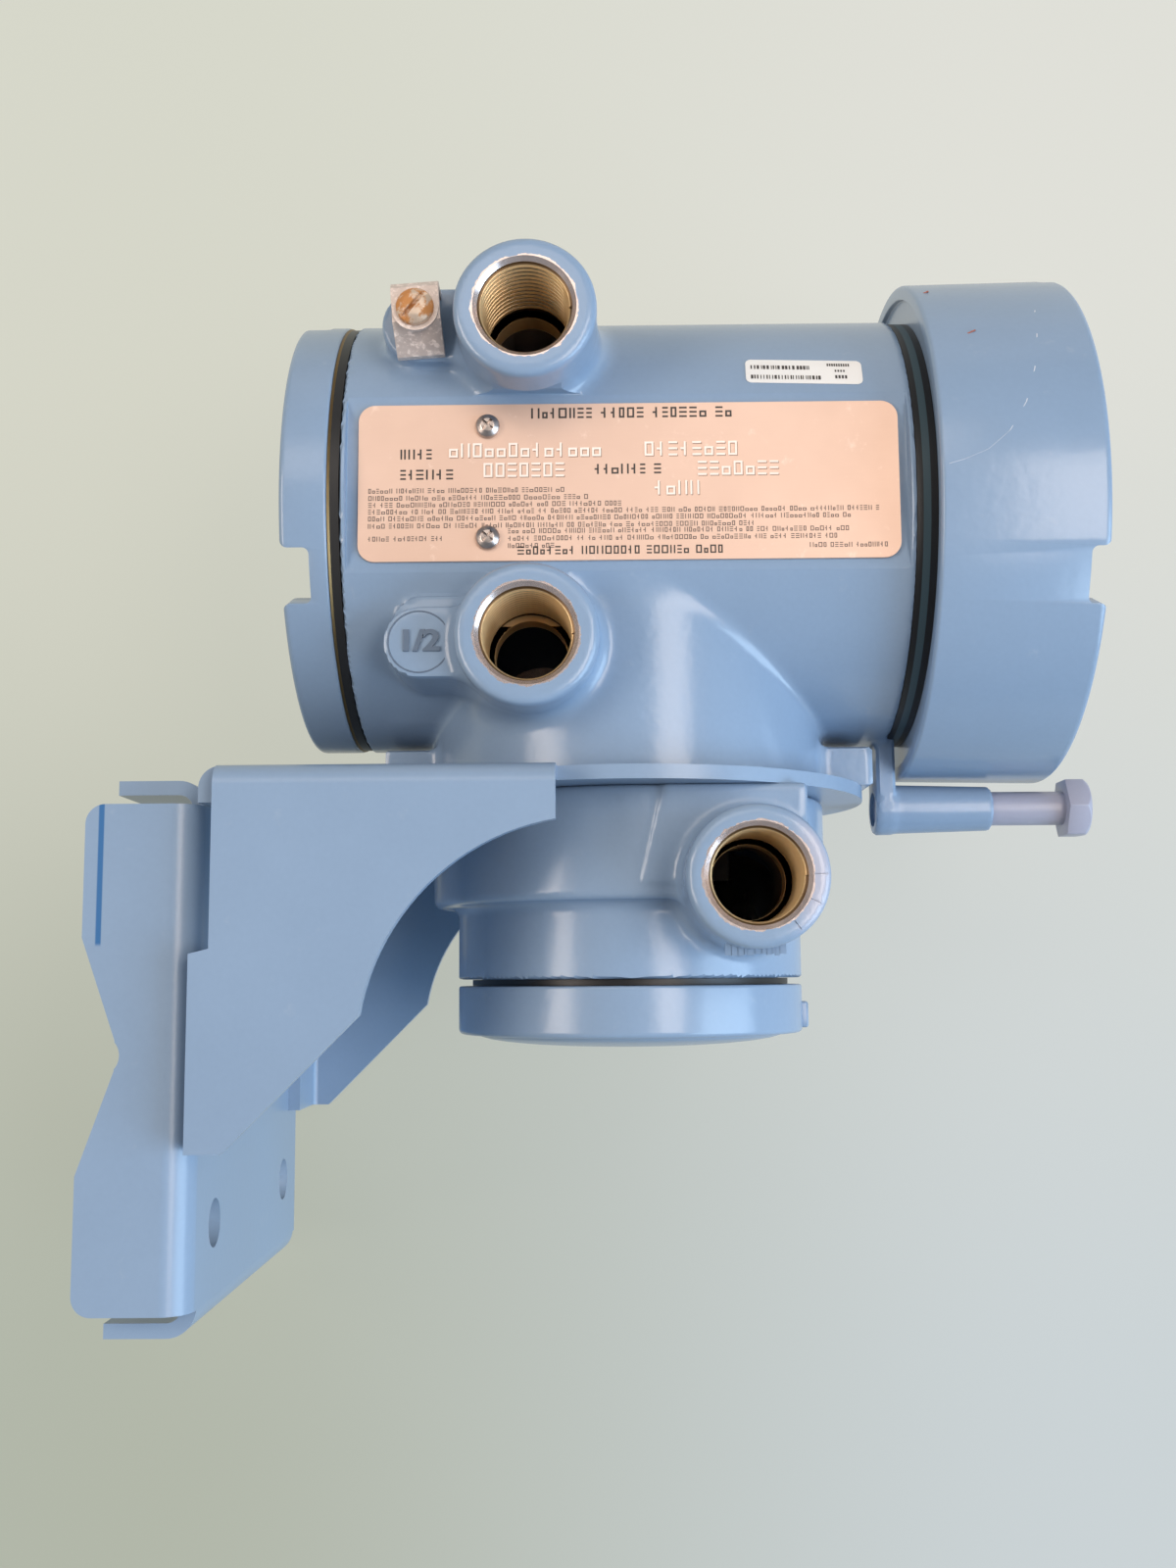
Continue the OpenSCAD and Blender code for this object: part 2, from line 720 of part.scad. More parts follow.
module window_gasket() {
    color("#202020") on_stem() ring_x(glass_front, glass_front + gasket_t, glass_r, window_r);
}

module window_retainer() {
    color("#b9bcc0") on_stem()
        ring_x(retainer_back, glass_front - glass_t, glass_r, window_r - 1);
}

module wiring_cover() {
    top = wire_cover_top;
    rim = top - wire_rim_h;
    dome_edge = 9;
    spigot_wall = 4.7;
    lug = [1.2, 10, 6];
    color("#7f9cbf") on_stem() difference() {
        union() {
            rod_z(rim, top, wire_r);
            rod_z(rim - wire_dome_h, rim, wire_r - dome_edge, wire_r);
            rod_z(top - 1, top + wire_spigot_l, wire_bore_r - thread_fit);
            // Small cast lug that a lever catches on
            block([wire_r - 2, -lug.y / 2, rim + 1], [wire_r + lug.x, lug.y / 2, rim + 1 + lug.z]);
        }
        rod_z(rim - wire_dome_h + wire_floor_t, top + wire_spigot_l + 1,
              wire_bore_r - thread_fit - spigot_wall);
    }
}

module wiring_cover_seal() {
    color("#161616") on_stem() difference() {
        rod_z(wire_cover_top + seal_gap, wire_bottom - seal_gap, wire_r - 3.2);
        rod_z(wire_cover_top, wire_bottom, wire_bore_r - thread_fit + running_fit);
    }
}

// ---- inside the compartments ----

// Places of the terminals along the block
function terminal_y() = [for (i = [0:terminal_count - 1]) (i + 0.5 - terminal_count / 2) * terminal_pitch];

module terminal_block() {
    face = divider_x - block_t;
    mouth_w = terminal_pitch * 0.64;
    color("#2b2d30") on_stem() difference() {
        block([face, -block_l / 2, -block_h / 2], [divider_x, block_l / 2, block_h / 2]);
        // Wire mouths below, and seats for the clamp screws
        for (y = terminal_y()) translate([0, y, 0]) {
            block([face - 1, -mouth_w / 2, -block_h / 2 - 1], [face + mouth_d, mouth_w / 2, mouth_h - block_h / 2]);
            translate([0, 0, terminal_z]) rod_x(face - 1, divider_x - 2, terminal_r + screw_fit);
        }
    }
}

module terminal_screws() {
    face = divider_x - block_t;
    color("#c9c9c4") on_stem() for (y = terminal_y()) translate([0, y, terminal_z]) difference() {
        union() {
            rod_x(face - terminal_head_h, face, terminal_head_r);
            rod_x(face - 1, divider_x - 2, terminal_r);
        }
        screw_slot(face - terminal_head_h - 1, face - terminal_head_h + slot_d, terminal_head_r);
    }
}

// Straight slot across the head of a screw that lies along X
module screw_slot(from, to, head_r) {
    block([from, -head_r - 1, -slot_w / 2], [to, head_r + 1, slot_w / 2]);
}

module inner_ground_screw() {
    color("#4d8f54") on_stem() translate([0, 0, -inner_ground_drop]) difference() {
        union() {
            rod_x(divider_x - m5_low_head_h, divider_x, m5_head_r);
            rod_x(divider_x - 1, divider_x + wall_grip, m5_r);
        }
        screw_slot(divider_x - m5_low_head_h - 1, divider_x - m5_low_head_h + slot_d, m5_head_r);
    }
}

module electronics_module() {
    color("#5b6064") on_stem() difference() {
        rod_x(electronics_x, module_end, module_r);
        around_x(3, module_screw_pcr, 90)
            rod_x(electronics_x - 1, module_end + 1, m5_r + clearance);
    }
}

module module_screws() {
    color("#c9c9c4") on_stem() around_x(3, module_screw_pcr, 90) difference() {
        union() {
            rod_x(module_end, module_end + m5_low_head_h, m5_head_r);
            rod_x(electronics_x - wall_grip, module_end + 1, m5_r);
        }
        screw_slot(module_end + m5_low_head_h - slot_d, module_end + m5_low_head_h + 1, m5_head_r);
    }
}

module display_board() {
    color("#2f6b46") on_stem() rod_x(module_end, board_front, board_r);
}

module display_lcd() {
    color("#9aa88c") on_stem()
        block([board_front, -lcd_w / 2, lcd_z - lcd_h / 2],
              [bezel_front - bezel_t - clearance, lcd_w / 2, lcd_z + lcd_h / 2]);
}

module optical_sensors() {
    color("#3a1518") on_stem() for (y = [-sensor_gap / 2, sensor_gap / 2])
        translate([0, y, -sensor_drop]) rod_x(board_front, bezel_front - 0.5, sensor_r);
}

module display_bezel() {
    color("#26282b") on_stem() difference() {
        rod_x(module_end, bezel_front, bezel_r);
        rod_x(module_end - 1, bezel_front - bezel_t, bezel_r - bezel_t);
        block([bezel_front - bezel_t - 1, lcd_rim - lcd_w / 2, lcd_z + lcd_rim - lcd_h / 2],
              [bezel_front + 1, lcd_w / 2 - lcd_rim, lcd_z - lcd_rim + lcd_h / 2]);
        for (y = [-sensor_gap / 2, sensor_gap / 2]) translate([0, y, -sensor_drop])
            rod_x(bezel_front - bezel_t - 1, bezel_front + 1, sensor_r + clearance);
    }
}

// Copies at the wiring screws' places
module at_wiring_screws() {
    for (i = [-1.5:1.5], side = [-0.5, 0.5])
        translate([i * wire_screw_pitch, side * wire_row_gap, 0]) children();
}

module wiring_block() {
    face = wire_ceiling - wire_block_h;
    color("#2b2d30") on_stem() difference() {
        block([-wire_block_l / 2, -wire_block_w / 2, face], [wire_block_l / 2, wire_block_w / 2, wire_ceiling]);
        at_wiring_screws() rod_z(face - 1, wire_ceiling - 3, wire_screw_r + screw_fit);
    }
}

module wiring_block_screws() {
    face = wire_ceiling - wire_block_h;
    head = face - wire_screw_head_h;
    color("#c9c9c4") on_stem() at_wiring_screws() difference() {
        union() {
            rod_z(head, face, wire_screw_head_r);
            rod_z(face - 1, wire_ceiling - 3, wire_screw_r);
        }
        block([-wire_screw_head_r - 1, -slot_w / 3, head - 1],
              [wire_screw_head_r + 1, slot_w / 3, head + wire_screw_head_h / 2]);
    }
}

// ---- outside fittings ----

module nameplate() {
    color("#dcbfa0") on_stem() difference() {
        translate([-plate_l / 2, -flat_y, -plate_h / 2]) rotate([90, 0, 0])
            linear_extrude(plate_t) rounded_rect([plate_l, plate_h], plate_corner);
        for (z = plate_screw_z())
            rod_y([-plate_screw_x, -flat_y - plate_t - 1, z], plate_t + 2, plate_shank_r + screw_fit);
    }
}

module nameplate_screws() {
    face = -flat_y - plate_t;
    recess_r = plate_head_r * 0.55;
    recess_w = 0.7;
    color("#c9c9c4") on_stem() for (z = plate_screw_z()) difference() {
        union() {
            rod_y([-plate_screw_x, face - plate_head_h, z], plate_head_h, plate_head_r * 0.8, plate_head_r);
            rod_y([-plate_screw_x, face - 1, z], 1 + plate_t + plate_grip, plate_shank_r);
        }
        for (turn = [45, -45]) translate([-plate_screw_x, face - plate_head_h, z]) rotate([0, turn, 0])
            block([-recess_r, -1, -recess_w / 2], [recess_r, plate_head_h / 2, recess_w / 2]);
    }
}

module sticker() {
    color("#f2f1ec") on_stem() intersection() {
        ring_x(sticker_x - sticker_l, sticker_x + sticker_l, barrel_r + sticker_t, barrel_r);
        translate([sticker_x, -barrel_r, sticker_z]) rotate([0, -sticker_tilt, 0])
            cube([sticker_l, barrel_r, sticker_h], center = true);
    }
}

// Clamp plate with a bent top and a slanted foot, drawn as seen along X
module ground_clamp() {
    t = clamp_t;
    top = pad_z + clamp_h * 0.46;
    bottom = top - clamp_h;
    knee = bottom + 5.5;
    color("#c2b8ab") on_stem() difference() {
        translate([lug_screw_x - clamp_w / 2, 0, 0]) rotate([90, 0, 90]) linear_extrude(clamp_w)
            polygon([
                [-pad_y, top], [clamp_face + t, top], [clamp_face, top - t], [clamp_face, knee],
                [-pad_y - t, bottom], [-pad_y, bottom], [-pad_y, bottom + t], [clamp_face + t, knee + t],
                [clamp_face + t, top - t], [-pad_y, top - t]
            ]);
        rod_y([lug_screw_x, clamp_face - 1, pad_z], clamp_rise + 2, m5_r + screw_fit);
    }
}

module ground_washer() {
    color("#b3a694") on_stem() difference() {
        rod_y([lug_screw_x, clamp_face - washer_t, pad_z], washer_t, washer_r);
        rod_y([lug_screw_x, clamp_face - washer_t - 1, pad_z], washer_t + 2, m5_r + screw_fit);
    }
}

module ground_screw() {
    head = clamp_face - washer_t;
    slot_turn = 50;
    color("#b89a78") on_stem() difference() {
        union() {
            rod_y([lug_screw_x, head - lug_head_h, pad_z], lug_head_h, lug_head_r * 0.8, lug_head_r);
            rod_y([lug_screw_x, head - 1, pad_z], 1 - head - pad_y + lug_grip, m5_r);
        }
        translate([lug_screw_x, head - lug_head_h, pad_z]) rotate([0, slot_turn, 0])
            block([-lug_head_r - 1, -1, -slot_w / 2], [lug_head_r + 1, slot_d, slot_w / 2]);
    }
}

module lock_bolt() {
    color("#a9acb8") on_stem() translate([0, 0, -lock_drop]) {
        rod_x(lock_seat_x - lock_l, lock_seat_x + 1, lock_r);
        translate([lock_seat_x, 0, 0]) rotate([0, 90, 0])
            cylinder(h = lock_head_h, r = lock_flats / sqrt(3), $fn = 6);
    }
}

// The four screws that clamp wiring housing, bracket and pedestal together
module base_screws() {
    color("#9c9fa4") on_stem() around_z(4, base_pcr, 45) difference() {
        union() {
            rod_z(wire_ceiling - m5_head_h, wire_ceiling, m5_head_r);
            rod_z(wire_ceiling - 1, plate_top + base_grip - clearance, m5_r);
        }
        translate([0, 0, wire_ceiling - m5_head_h - 1])
            cylinder(h = 1 + m5_head_h / 2, r = m5_flats / sqrt(3), $fn = 6);
    }
}

// ---- folded sheet ----

// Flat outline of a sheet folded into a U: a back of width w and two legs of depth d, round folds
module folded_u(w, d, t, fold_r) {
    inner_r = fold_r - t;
    difference() {
        union() {
            translate([-w / 2 + fold_r, 0]) square([w - 2 * fold_r, d]);
            translate([-w / 2, fold_r]) square([w, d - fold_r]);
            for (s = [-1, 1]) translate([s * (w / 2 - fold_r), fold_r]) circle(fold_r);
        }
        translate([-w / 2 + t + inner_r, t]) square([w - 2 * (t + inner_r), d]);
        translate([-w / 2 + t, t + inner_r]) square([w - 2 * t, d]);
        for (s = [-1, 1]) translate([s * (w / 2 - fold_r), fold_r]) circle(inner_r);
    }
}

// Cut that rounds the upper corner of the side flanges
module flange_corner() {
    r = flange_corner_r;
    translate([-flange_d, 0, flange_h / 2]) rotate([90, 0, 0])
        linear_extrude(saddle_w + 2, center = true) difference() {
            translate([-1, -r]) square(r + 1);
            translate([r, -r]) circle(r);
        }
}

// Outline of the notch that sits on a pipe: two slanted sides into a round bottom
module notch_outline() {
    r = 4;
    flare = 2.6;
    bottom = notch_d - flange_d;
    polygon([
        [-flange_d - 1, notch_h / 2 + flare], [-flange_d, notch_h / 2], [bottom - 1, r - 1],
        [bottom - 1, 1 - r], [-flange_d, -notch_h / 2], [-flange_d - 1, -notch_h / 2 - flare]
    ]);
    translate([bottom - r, 0]) circle(r);
}

module pipe_saddle() {
    depth = flange_d + saddle_t;
    color("#7f9cbf") difference() {
        union() {
            // Side flanges
            translate([saddle_t, 0, -flange_h / 2]) rotate([0, 0, 90])
                linear_extrude(flange_h) folded_u(saddle_w, depth, saddle_t, saddle_fold_r);
            // Top and bottom tabs
            translate([saddle_t, tab_w / 2, 0]) rotate([90, -90, 0]) linear_extrude(tab_w)
                folded_u(saddle_h, tab_d + saddle_t, saddle_t, saddle_fold_r);
        }
        rotate([90, 0, 0]) linear_extrude(saddle_w + 2, center = true) notch_outline();
        flange_corner();
        mirror([0, 0, 1]) flange_corner();
        for (y = [-0.5, 0.5], z = [-0.5, 0.5]) translate([0, y * bolt_pitch, z * bolt_pitch])
            rod_x(-1, saddle_t + 1, bolt_hole_d / 2);
    }
}

// Side outline of the bracket: top plate, hollow front edge, slanted foot and the relief at the wall
module gusset_outline(top, back) {
    foot = -gusset_drop;
    front = stem_reach - gusset_back;
    knee = gusset_arc_x - gusset_arc_r + 0.7;
    difference() {
        polygon([
            [back + relief_w, top], [front, top], [front, top - gusset_lip], [gusset_arc_x, top - gusset_lip],
            [gusset_arc_x, gusset_knee_z], [knee, gusset_knee_z], [knee - gusset_knee_z - gusset_drop, foot],
            [back, foot], [back, gusset_flange_top], [back + relief_w, gusset_flange_top + 1]
        ]);
        translate([gusset_arc_x, 0]) circle(gusset_arc_r);
        translate([front, foot]) square([stem_reach, top - foot]);
    }
}

module mounting_bracket() {
    top = barrel_rise - pedestal_drop;
    back = saddle_t;
    inner_w = bracket_w - 2 * bracket_t;
    plate_in = 2;
    fold_in = 2;
    color("#7f9cbf") difference() {
        union() {
            // Top plate and gussets, folded as one U along X
            intersection() {
                translate([0, 0, top]) rotate([90, 0, 90]) mirror([0, 1, 0])
                    linear_extrude(stem_reach)
                        folded_u(bracket_w, top + gusset_drop, bracket_t, bracket_fold_r);
                rotate([90, 0, 0]) linear_extrude(bracket_w + 2, center = true) gusset_outline(top, back);
            }
            // Round end of the top plate
            translate([stem_reach, 0, 0]) rod_z(top - bracket_t, top, plate_r);
            block([back + bracket_fold_r, -plate_r + plate_in, top - bracket_t],
                  [stem_reach, plate_r - plate_in, top]);
            // Fold at the wall end of the top plate
            translate([back, inner_w / 2 - fold_in, top]) rotate([90, 0, 0])
                linear_extrude(inner_w - 2 * fold_in) rear_fold_outline();
            // Gusset flanges on the saddle
            gusset_flange(back);
            mirror([0, 1, 0]) gusset_flange(back);
        }
        translate([stem_reach, 0, 0]) {
            rod_z(top - bracket_t - 1, top + 1, plate_hole_r);
            around_z(4, base_pcr, 45) rod_z(top - bracket_t - 1, top + 1, m5_r + clearance);
        }
    }
}

// Section of the fold at the wall end of the top plate
module rear_fold_outline() {
    r = bracket_fold_r;
    difference() {
        union() {
            translate([r, -bracket_t]) square([r, bracket_t]);
            translate([0, -rear_fold_h]) square([bracket_t, rear_fold_h - r]);
            intersection() {
                translate([r, -r]) circle(r);
                translate([0, -r]) square(r);
            }
        }
        translate([r, -r]) circle(r - bracket_t);
    }
}

// Flange of one gusset, folded inwards against the saddle
module gusset_flange(back) {
    r = bracket_fold_r;
    edge = bracket_w / 2;
    translate([back, 0, -gusset_drop]) linear_extrude(gusset_drop + gusset_flange_top) difference() {
        union() {
            translate([0, edge - gusset_flange_w]) square([bracket_t, gusset_flange_w - r]);
            intersection() {
                translate([r, edge - r]) circle(r);
                translate([0, edge - r]) square(r);
            }
        }
        translate([r, edge - r]) circle(r - bracket_t);
    }
}

main_housing();
upper_entry_boss();
lower_entry_boss();
terminal_cover();
terminal_cover_seal();
terminal_block();
terminal_screws();
inner_ground_screw();
display_cover();
display_cover_seal();
window_glass();
window_gasket();
window_retainer();
electronics_module();
module_screws();
display_board();
display_lcd();
optical_sensors();
display_bezel();
nameplate();
nameplate_screws();
sticker();
ground_clamp();
ground_washer();
ground_screw();
lock_bolt();
mounting_bracket();
pipe_saddle();
wiring_housing();
base_screws();
wiring_block();
wiring_block_screws();
wiring_cover_seal();
wiring_cover();
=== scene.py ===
"""Looks of a remote coriolis flow transmitter: painted castings, a folded bracket and its fittings."""
import json
import math
import random

import bmesh
import bpy
import numpy as np
from mathutils import Matrix, Vector


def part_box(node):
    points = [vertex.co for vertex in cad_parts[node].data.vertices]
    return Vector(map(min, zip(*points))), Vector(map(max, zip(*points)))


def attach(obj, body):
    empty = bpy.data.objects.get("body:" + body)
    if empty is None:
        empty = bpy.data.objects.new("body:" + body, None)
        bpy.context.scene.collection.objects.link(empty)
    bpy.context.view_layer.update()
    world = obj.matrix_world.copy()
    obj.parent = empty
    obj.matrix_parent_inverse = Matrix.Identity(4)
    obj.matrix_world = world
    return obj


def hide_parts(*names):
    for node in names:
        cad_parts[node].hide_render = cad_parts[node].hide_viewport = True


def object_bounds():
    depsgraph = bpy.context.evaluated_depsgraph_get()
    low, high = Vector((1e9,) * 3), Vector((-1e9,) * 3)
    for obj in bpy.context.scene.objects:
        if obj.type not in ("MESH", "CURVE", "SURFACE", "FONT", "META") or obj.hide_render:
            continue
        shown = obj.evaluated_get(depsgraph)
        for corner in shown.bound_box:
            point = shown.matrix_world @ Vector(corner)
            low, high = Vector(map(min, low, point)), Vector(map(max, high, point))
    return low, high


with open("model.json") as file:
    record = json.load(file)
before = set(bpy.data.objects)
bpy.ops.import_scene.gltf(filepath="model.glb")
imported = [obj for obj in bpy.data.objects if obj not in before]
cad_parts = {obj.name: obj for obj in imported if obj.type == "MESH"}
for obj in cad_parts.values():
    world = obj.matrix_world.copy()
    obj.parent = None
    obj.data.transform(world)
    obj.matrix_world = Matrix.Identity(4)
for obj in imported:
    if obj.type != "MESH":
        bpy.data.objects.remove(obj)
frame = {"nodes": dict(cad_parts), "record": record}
cad_low, cad_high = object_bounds()

MM = 0.001
FITTINGS = bpy.data.collections.new("fittings")
bpy.context.scene.collection.children.link(FITTINGS)

# ---- places, in millimetres about the point where the barrel and pedestal axes cross ----


def node_box(name):
    """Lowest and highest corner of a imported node, in millimetres of the row frame."""
    low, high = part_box(name)
    return np.array(low) / MM, np.array(high) / MM


cover_low, cover_high = node_box("terminal_cover")
screws_low, screws_high = node_box("base_screws")
STEM = np.array([(screws_low[0] + screws_high[0]) / 2, 0.0, (cover_low[2] + cover_high[2]) / 2])


def stem_box(name):
    """The same corners about the stem point."""
    low, high = node_box(name)
    return low - STEM, high - STEM


housing_low, housing_high = stem_box("main_housing")
terminal_low, terminal_high = stem_box("terminal_cover")
display_low, display_high = stem_box("display_cover")
wiring_low, wiring_high = stem_box("wiring_housing")
wire_cover_low, wire_cover_high = stem_box("wiring_cover")
terminal_seal_low, terminal_seal_high = stem_box("terminal_cover_seal")
display_seal_low, display_seal_high = stem_box("display_cover_seal")
wire_seal_low, wire_seal_high = stem_box("wiring_cover_seal")
plate_low, plate_high = stem_box("nameplate")
glass_low, glass_high = stem_box("window_glass")
bolt_low, bolt_high = stem_box("lock_bolt")
clamp_low, clamp_high = stem_box("ground_clamp")

BARREL_R = terminal_high[2]
BARREL_X = (terminal_seal_high[0] + 0.1, display_seal_low[0] - 0.1)
NECK_X = 79.8
NECK_R = 48.0
FLAT_Y = plate_high[1]
PLATE_FRONT = plate_low[1]
PEDESTAL_R = 46.0
PLATE_TOP = -61.8
PLATE_BOTTOM = wiring_high[2]
ENTRY_CHAMFER = 0.9
ENTRY_CORE_R = 8.1


def entry_place(name):
    """Mouth centre, radius and threaded length of a conduit entry, about the stem point."""
    mount = next(m for m in frame["record"]["mounts"] if m["name"] == name)
    length = mount["dims"]["length_mm"]
    mouth = np.array(mount["pos_m"]) / MM - STEM
    mouth[1] -= length / 2 + ENTRY_CHAMFER
    return mouth, mount["dims"]["r_mm"], length + ENTRY_CHAMFER


ENTRIES = {name: entry_place(name) for name in ("conduit_upper", "conduit_lower", "wiring_entry")}
UPPER, LOWER, WIRING = (ENTRIES[name][0] for name in ("conduit_upper", "conduit_lower", "wiring_entry"))
TAB_X, PAD_X, PAD_Z = LOWER[0] - 22.9, UPPER[0] - 23.4, 35.6
LOCK_Z = (bolt_low[2] + bolt_high[2]) / 2

# ---- distance fields: negative inside, one value for each point (x, y, z) ----


def rod(p, axis, centre, start, end, r, r_end=None, edge=0.8):
    """Round bar along an axis, with a rounded edge at both ends."""
    u, v = [k for k in range(3) if k != axis]
    along = p[axis]
    radius = r
    if r_end is not None:
        radius = r + (r_end - r) * np.clip((along - start) / (end - start), 0, 1)
    radial = np.hypot(p[u] - centre[0], p[v] - centre[1]) - radius + edge
    axial = np.abs(along - (start + end) / 2) - (end - start) / 2 + edge
    return np.minimum(np.maximum(radial, axial), 0) + np.hypot(np.maximum(radial, 0), np.maximum(axial, 0)) - edge


def bar(p, low, high, edge=0.8):
    """Box between two corners, with rounded edges."""
    q = [np.abs(p[k] - (low[k] + high[k]) / 2) - (high[k] - low[k]) / 2 + edge for k in range(3)]
    outside = np.sqrt(sum(np.maximum(a, 0) ** 2 for a in q))
    return outside + np.minimum(np.maximum(np.maximum(q[0], q[1]), q[2]), 0) - edge


def blend(a, b, fillet):
    """Both shapes, with a fillet where they meet."""
    h = np.maximum(fillet - np.abs(a - b), 0)
    return np.minimum(a, b) - h * h / (4 * fillet)


def entry_boss(p, mouth, end, r, r_root):
    """Boss of a conduit entry: a rounded front edge, then a slight flare to its root."""
    spot = (mouth[0], mouth[2])
    front = rod(p, 1, spot, mouth[1], end, r, edge=1.6)
    flare = rod(p, 1, spot, mouth[1] + 12, end, r, r_root, edge=1.0)
    return np.minimum(front, flare)


def stadium(p, x_end, x_boss, z, y_front, y_back, r, edge):
    """Flat bar with one round end."""
    x = np.clip(p[0], x_end, x_boss)
    radial = np.hypot(p[0] - x, p[2] - z) - r + edge
    axial = np.abs(p[1] - (y_front + y_back) / 2) - (y_back - y_front) / 2 + edge
    return np.minimum(np.maximum(radial, axial), 0) + np.hypot(np.maximum(radial, 0), np.maximum(axial, 0)) - edge


def main_casting(p):
    """Barrel with neck, pedestal, base ears, bosses, tabs and lock plate."""
    d = rod(p, 0, (0, 0), BARREL_X[0], BARREL_X[1], BARREL_R, edge=0.5)
    d = blend(d, rod(p, 2, (0, 0), PLATE_TOP, 0, PEDESTAL_R, edge=0.6), 1.6)
    ears = bar(p, (-56, -15, PLATE_TOP), (56, 15, PLATE_TOP + 9), edge=0.8)
    d = blend(d, ears, 2.5)
    d = blend(d, stadium(p, TAB_X + 0.6, LOWER[0], LOWER[2] + 3.4, -46.6, -24, 7.2, 0.9), 1.6)
    d = blend(d, stadium(p, TAB_X, LOWER[0], LOWER[2], -49.5, -24, 7.6, 0.8), 0.8)
    d = blend(d, stadium(p, PAD_X, UPPER[0], PAD_Z, -47.2, -15, 8.2, 0.9), 2.5)
    d = blend(d, entry_boss(p, UPPER, -6, 15, 18), 4.0)
    d = blend(d, entry_boss(p, LOWER, -12, 15, 18), 4.0)
    lug_x = (BARREL_X[1] + 2 - 4.4, BARREL_X[1] + 2)
    lug = bar(p, (lug_x[0], -5.9, LOCK_Z), (lug_x[1], 5.9, 4 - BARREL_R), edge=0.6)
    lug = np.minimum(lug, rod(p, 0, (0, LOCK_Z), lug_x[0], lug_x[1], 5.9, edge=0.6))
    d = blend(d, lug, 2.0)
    d = blend(d, rod(p, 0, (0, LOCK_Z), lug_x[0], lug_x[1] + 23, 5.9, 5.2, edge=0.7), 0.8)
    neck = rod(p, 0, (0, 0), BARREL_X[1] - 6, NECK_X, NECK_R, edge=0.5)
    return np.minimum(d, neck)


def wiring_casting(p):
    """Drum under the bracket, the narrower cylinder below it, and the flat-faced block of the wiring entry."""
    shoulder = PLATE_BOTTOM - 24
    drum = rod(p, 2, (0, 0), shoulder, PLATE_BOTTOM, 45.8, edge=1.6)
    d = blend(drum, rod(p, 2, (0, 0), wiring_low[2], PLATE_BOTTOM, 40, edge=0.5), 3.0)
    block = bar(p, (-8, -46.4, shoulder + 3), (45.8 - 9, -20, PLATE_BOTTOM), edge=1.2)
    slant = 1.8 + 0.22 * (p[2] - shoulder - 3) + 0.98 * -p[0]
    block = -blend(-block, -slant, 1.0)
    d = blend(d, block, 1.2)
    return blend(d, entry_boss(p, WIRING, -22, 14.4, 15.8), 3.0)


# ---- mesh tools ----


def skin(field, low, high, step):
    """Closed quad mesh on the zero level of a distance field, one corner in each cell that the level crosses."""
    low = np.array(low, float)
    counts = np.ceil((np.array(high) - low) / step).astype(int) + 1
    x, y, z = [low[k] + step * np.arange(counts[k]) for k in range(3)]
    value = field((x[:, None, None], y[None, :, None], z[None, None, :])).astype(np.float32)
    value = np.broadcast_to(value, tuple(counts)).copy()
    inside = value < 0
    shape = counts - 1

    def window(start):
        return tuple(slice(start[k], start[k] + shape[k]) for k in range(3))

    corners = [(i, j, k) for i in (0, 1) for j in (0, 1) for k in (0, 1)]
    filled = sum(inside[window(c)].astype(np.int8) for c in corners)
    cells = np.argwhere((filled > 0) & (filled < 8))
    total = np.zeros((len(cells), 3))
    crossings = np.zeros(len(cells))
    for start in corners:
        for axis in range(3):
            if start[axis]:
                continue
            end = [start[k] + (k == axis) for k in range(3)]
            a = value[tuple((cells + start).T)]
            b = value[tuple((cells + end).T)]
            crossed = (a < 0) != (b < 0)
            spot = np.tile(np.array(start, float), (len(cells), 1))
            spot[:, axis] = np.where(crossed, a / np.where(crossed, a - b, 1), 0)
            total += spot * crossed[:, None]
            crossings += crossed
    points = low + (cells + total / crossings[:, None]) * step
    for _ in range(3):
        d = field(tuple(points.T))
        slope = np.stack([
            field(tuple((points + 0.05 * axis).T)) - field(tuple((points - 0.05 * axis).T)) for axis in np.eye(3)
        ], 1) / 0.1
        size = np.maximum(np.sum(slope ** 2, 1), 0.25)
        points -= slope * (np.clip(d, -step / 2, step / 2) / size)[:, None]
    number = np.full(tuple(shape), -1, np.int32)
    number[tuple(cells.T)] = np.arange(len(cells))
    faces = []
    for axis in range(3):
        u, v = (axis + 1) % 3, (axis + 2) % 3
        ahead = [slice(None)] * 3
        behind = [slice(None)] * 3
        ahead[axis], behind[axis] = slice(1, None), slice(None, -1)
        here, there = inside[tuple(behind)], inside[tuple(ahead)]
        spots = np.argwhere(here != there)
        keep = (spots[:, u] > 0) & (spots[:, v] > 0) & (spots[:, u] < shape[u]) & (spots[:, v] < shape[v])
        spots = spots[keep]
        ring = []
        for du, dv in ((0, 0), (-1, 0), (-1, -1), (0, -1)):
            cell = spots.copy()
            cell[:, u] += du
            cell[:, v] += dv
            ring.append(number[tuple(cell.T)])
        quads = np.stack(ring, 1)
        outward = here[tuple(spots.T)]
        quads[~outward] = quads[~outward][:, ::-1]
        faces.append(quads)
    return (points + STEM) * MM, np.concatenate(faces)


def new_piece(name, points, faces, material=None, smooth=35):
    """Mesh object at the origin, smooth but for edges sharper than the given angle."""
    mesh = bpy.data.meshes.new(name)
    mesh.from_pydata([tuple(p) for p in points], [], [tuple(int(i) for i in f) for f in faces])
    mesh.update()
    return link_piece(name, mesh, material, smooth)


def link_piece(name, mesh, material=None, smooth=35):
    piece = bpy.data.objects.new(name, mesh)
    FITTINGS.objects.link(piece)
    if material:
        mesh.materials.clear()
        mesh.materials.append(material)
    finish_shading(mesh, smooth)
    return piece


def finish_shading(mesh, smooth=35):
    mesh.polygons.foreach_set("use_smooth", [True] * len(mesh.polygons))
    mesh.set_sharp_from_angle(angle=math.radians(smooth))
    mesh.update()


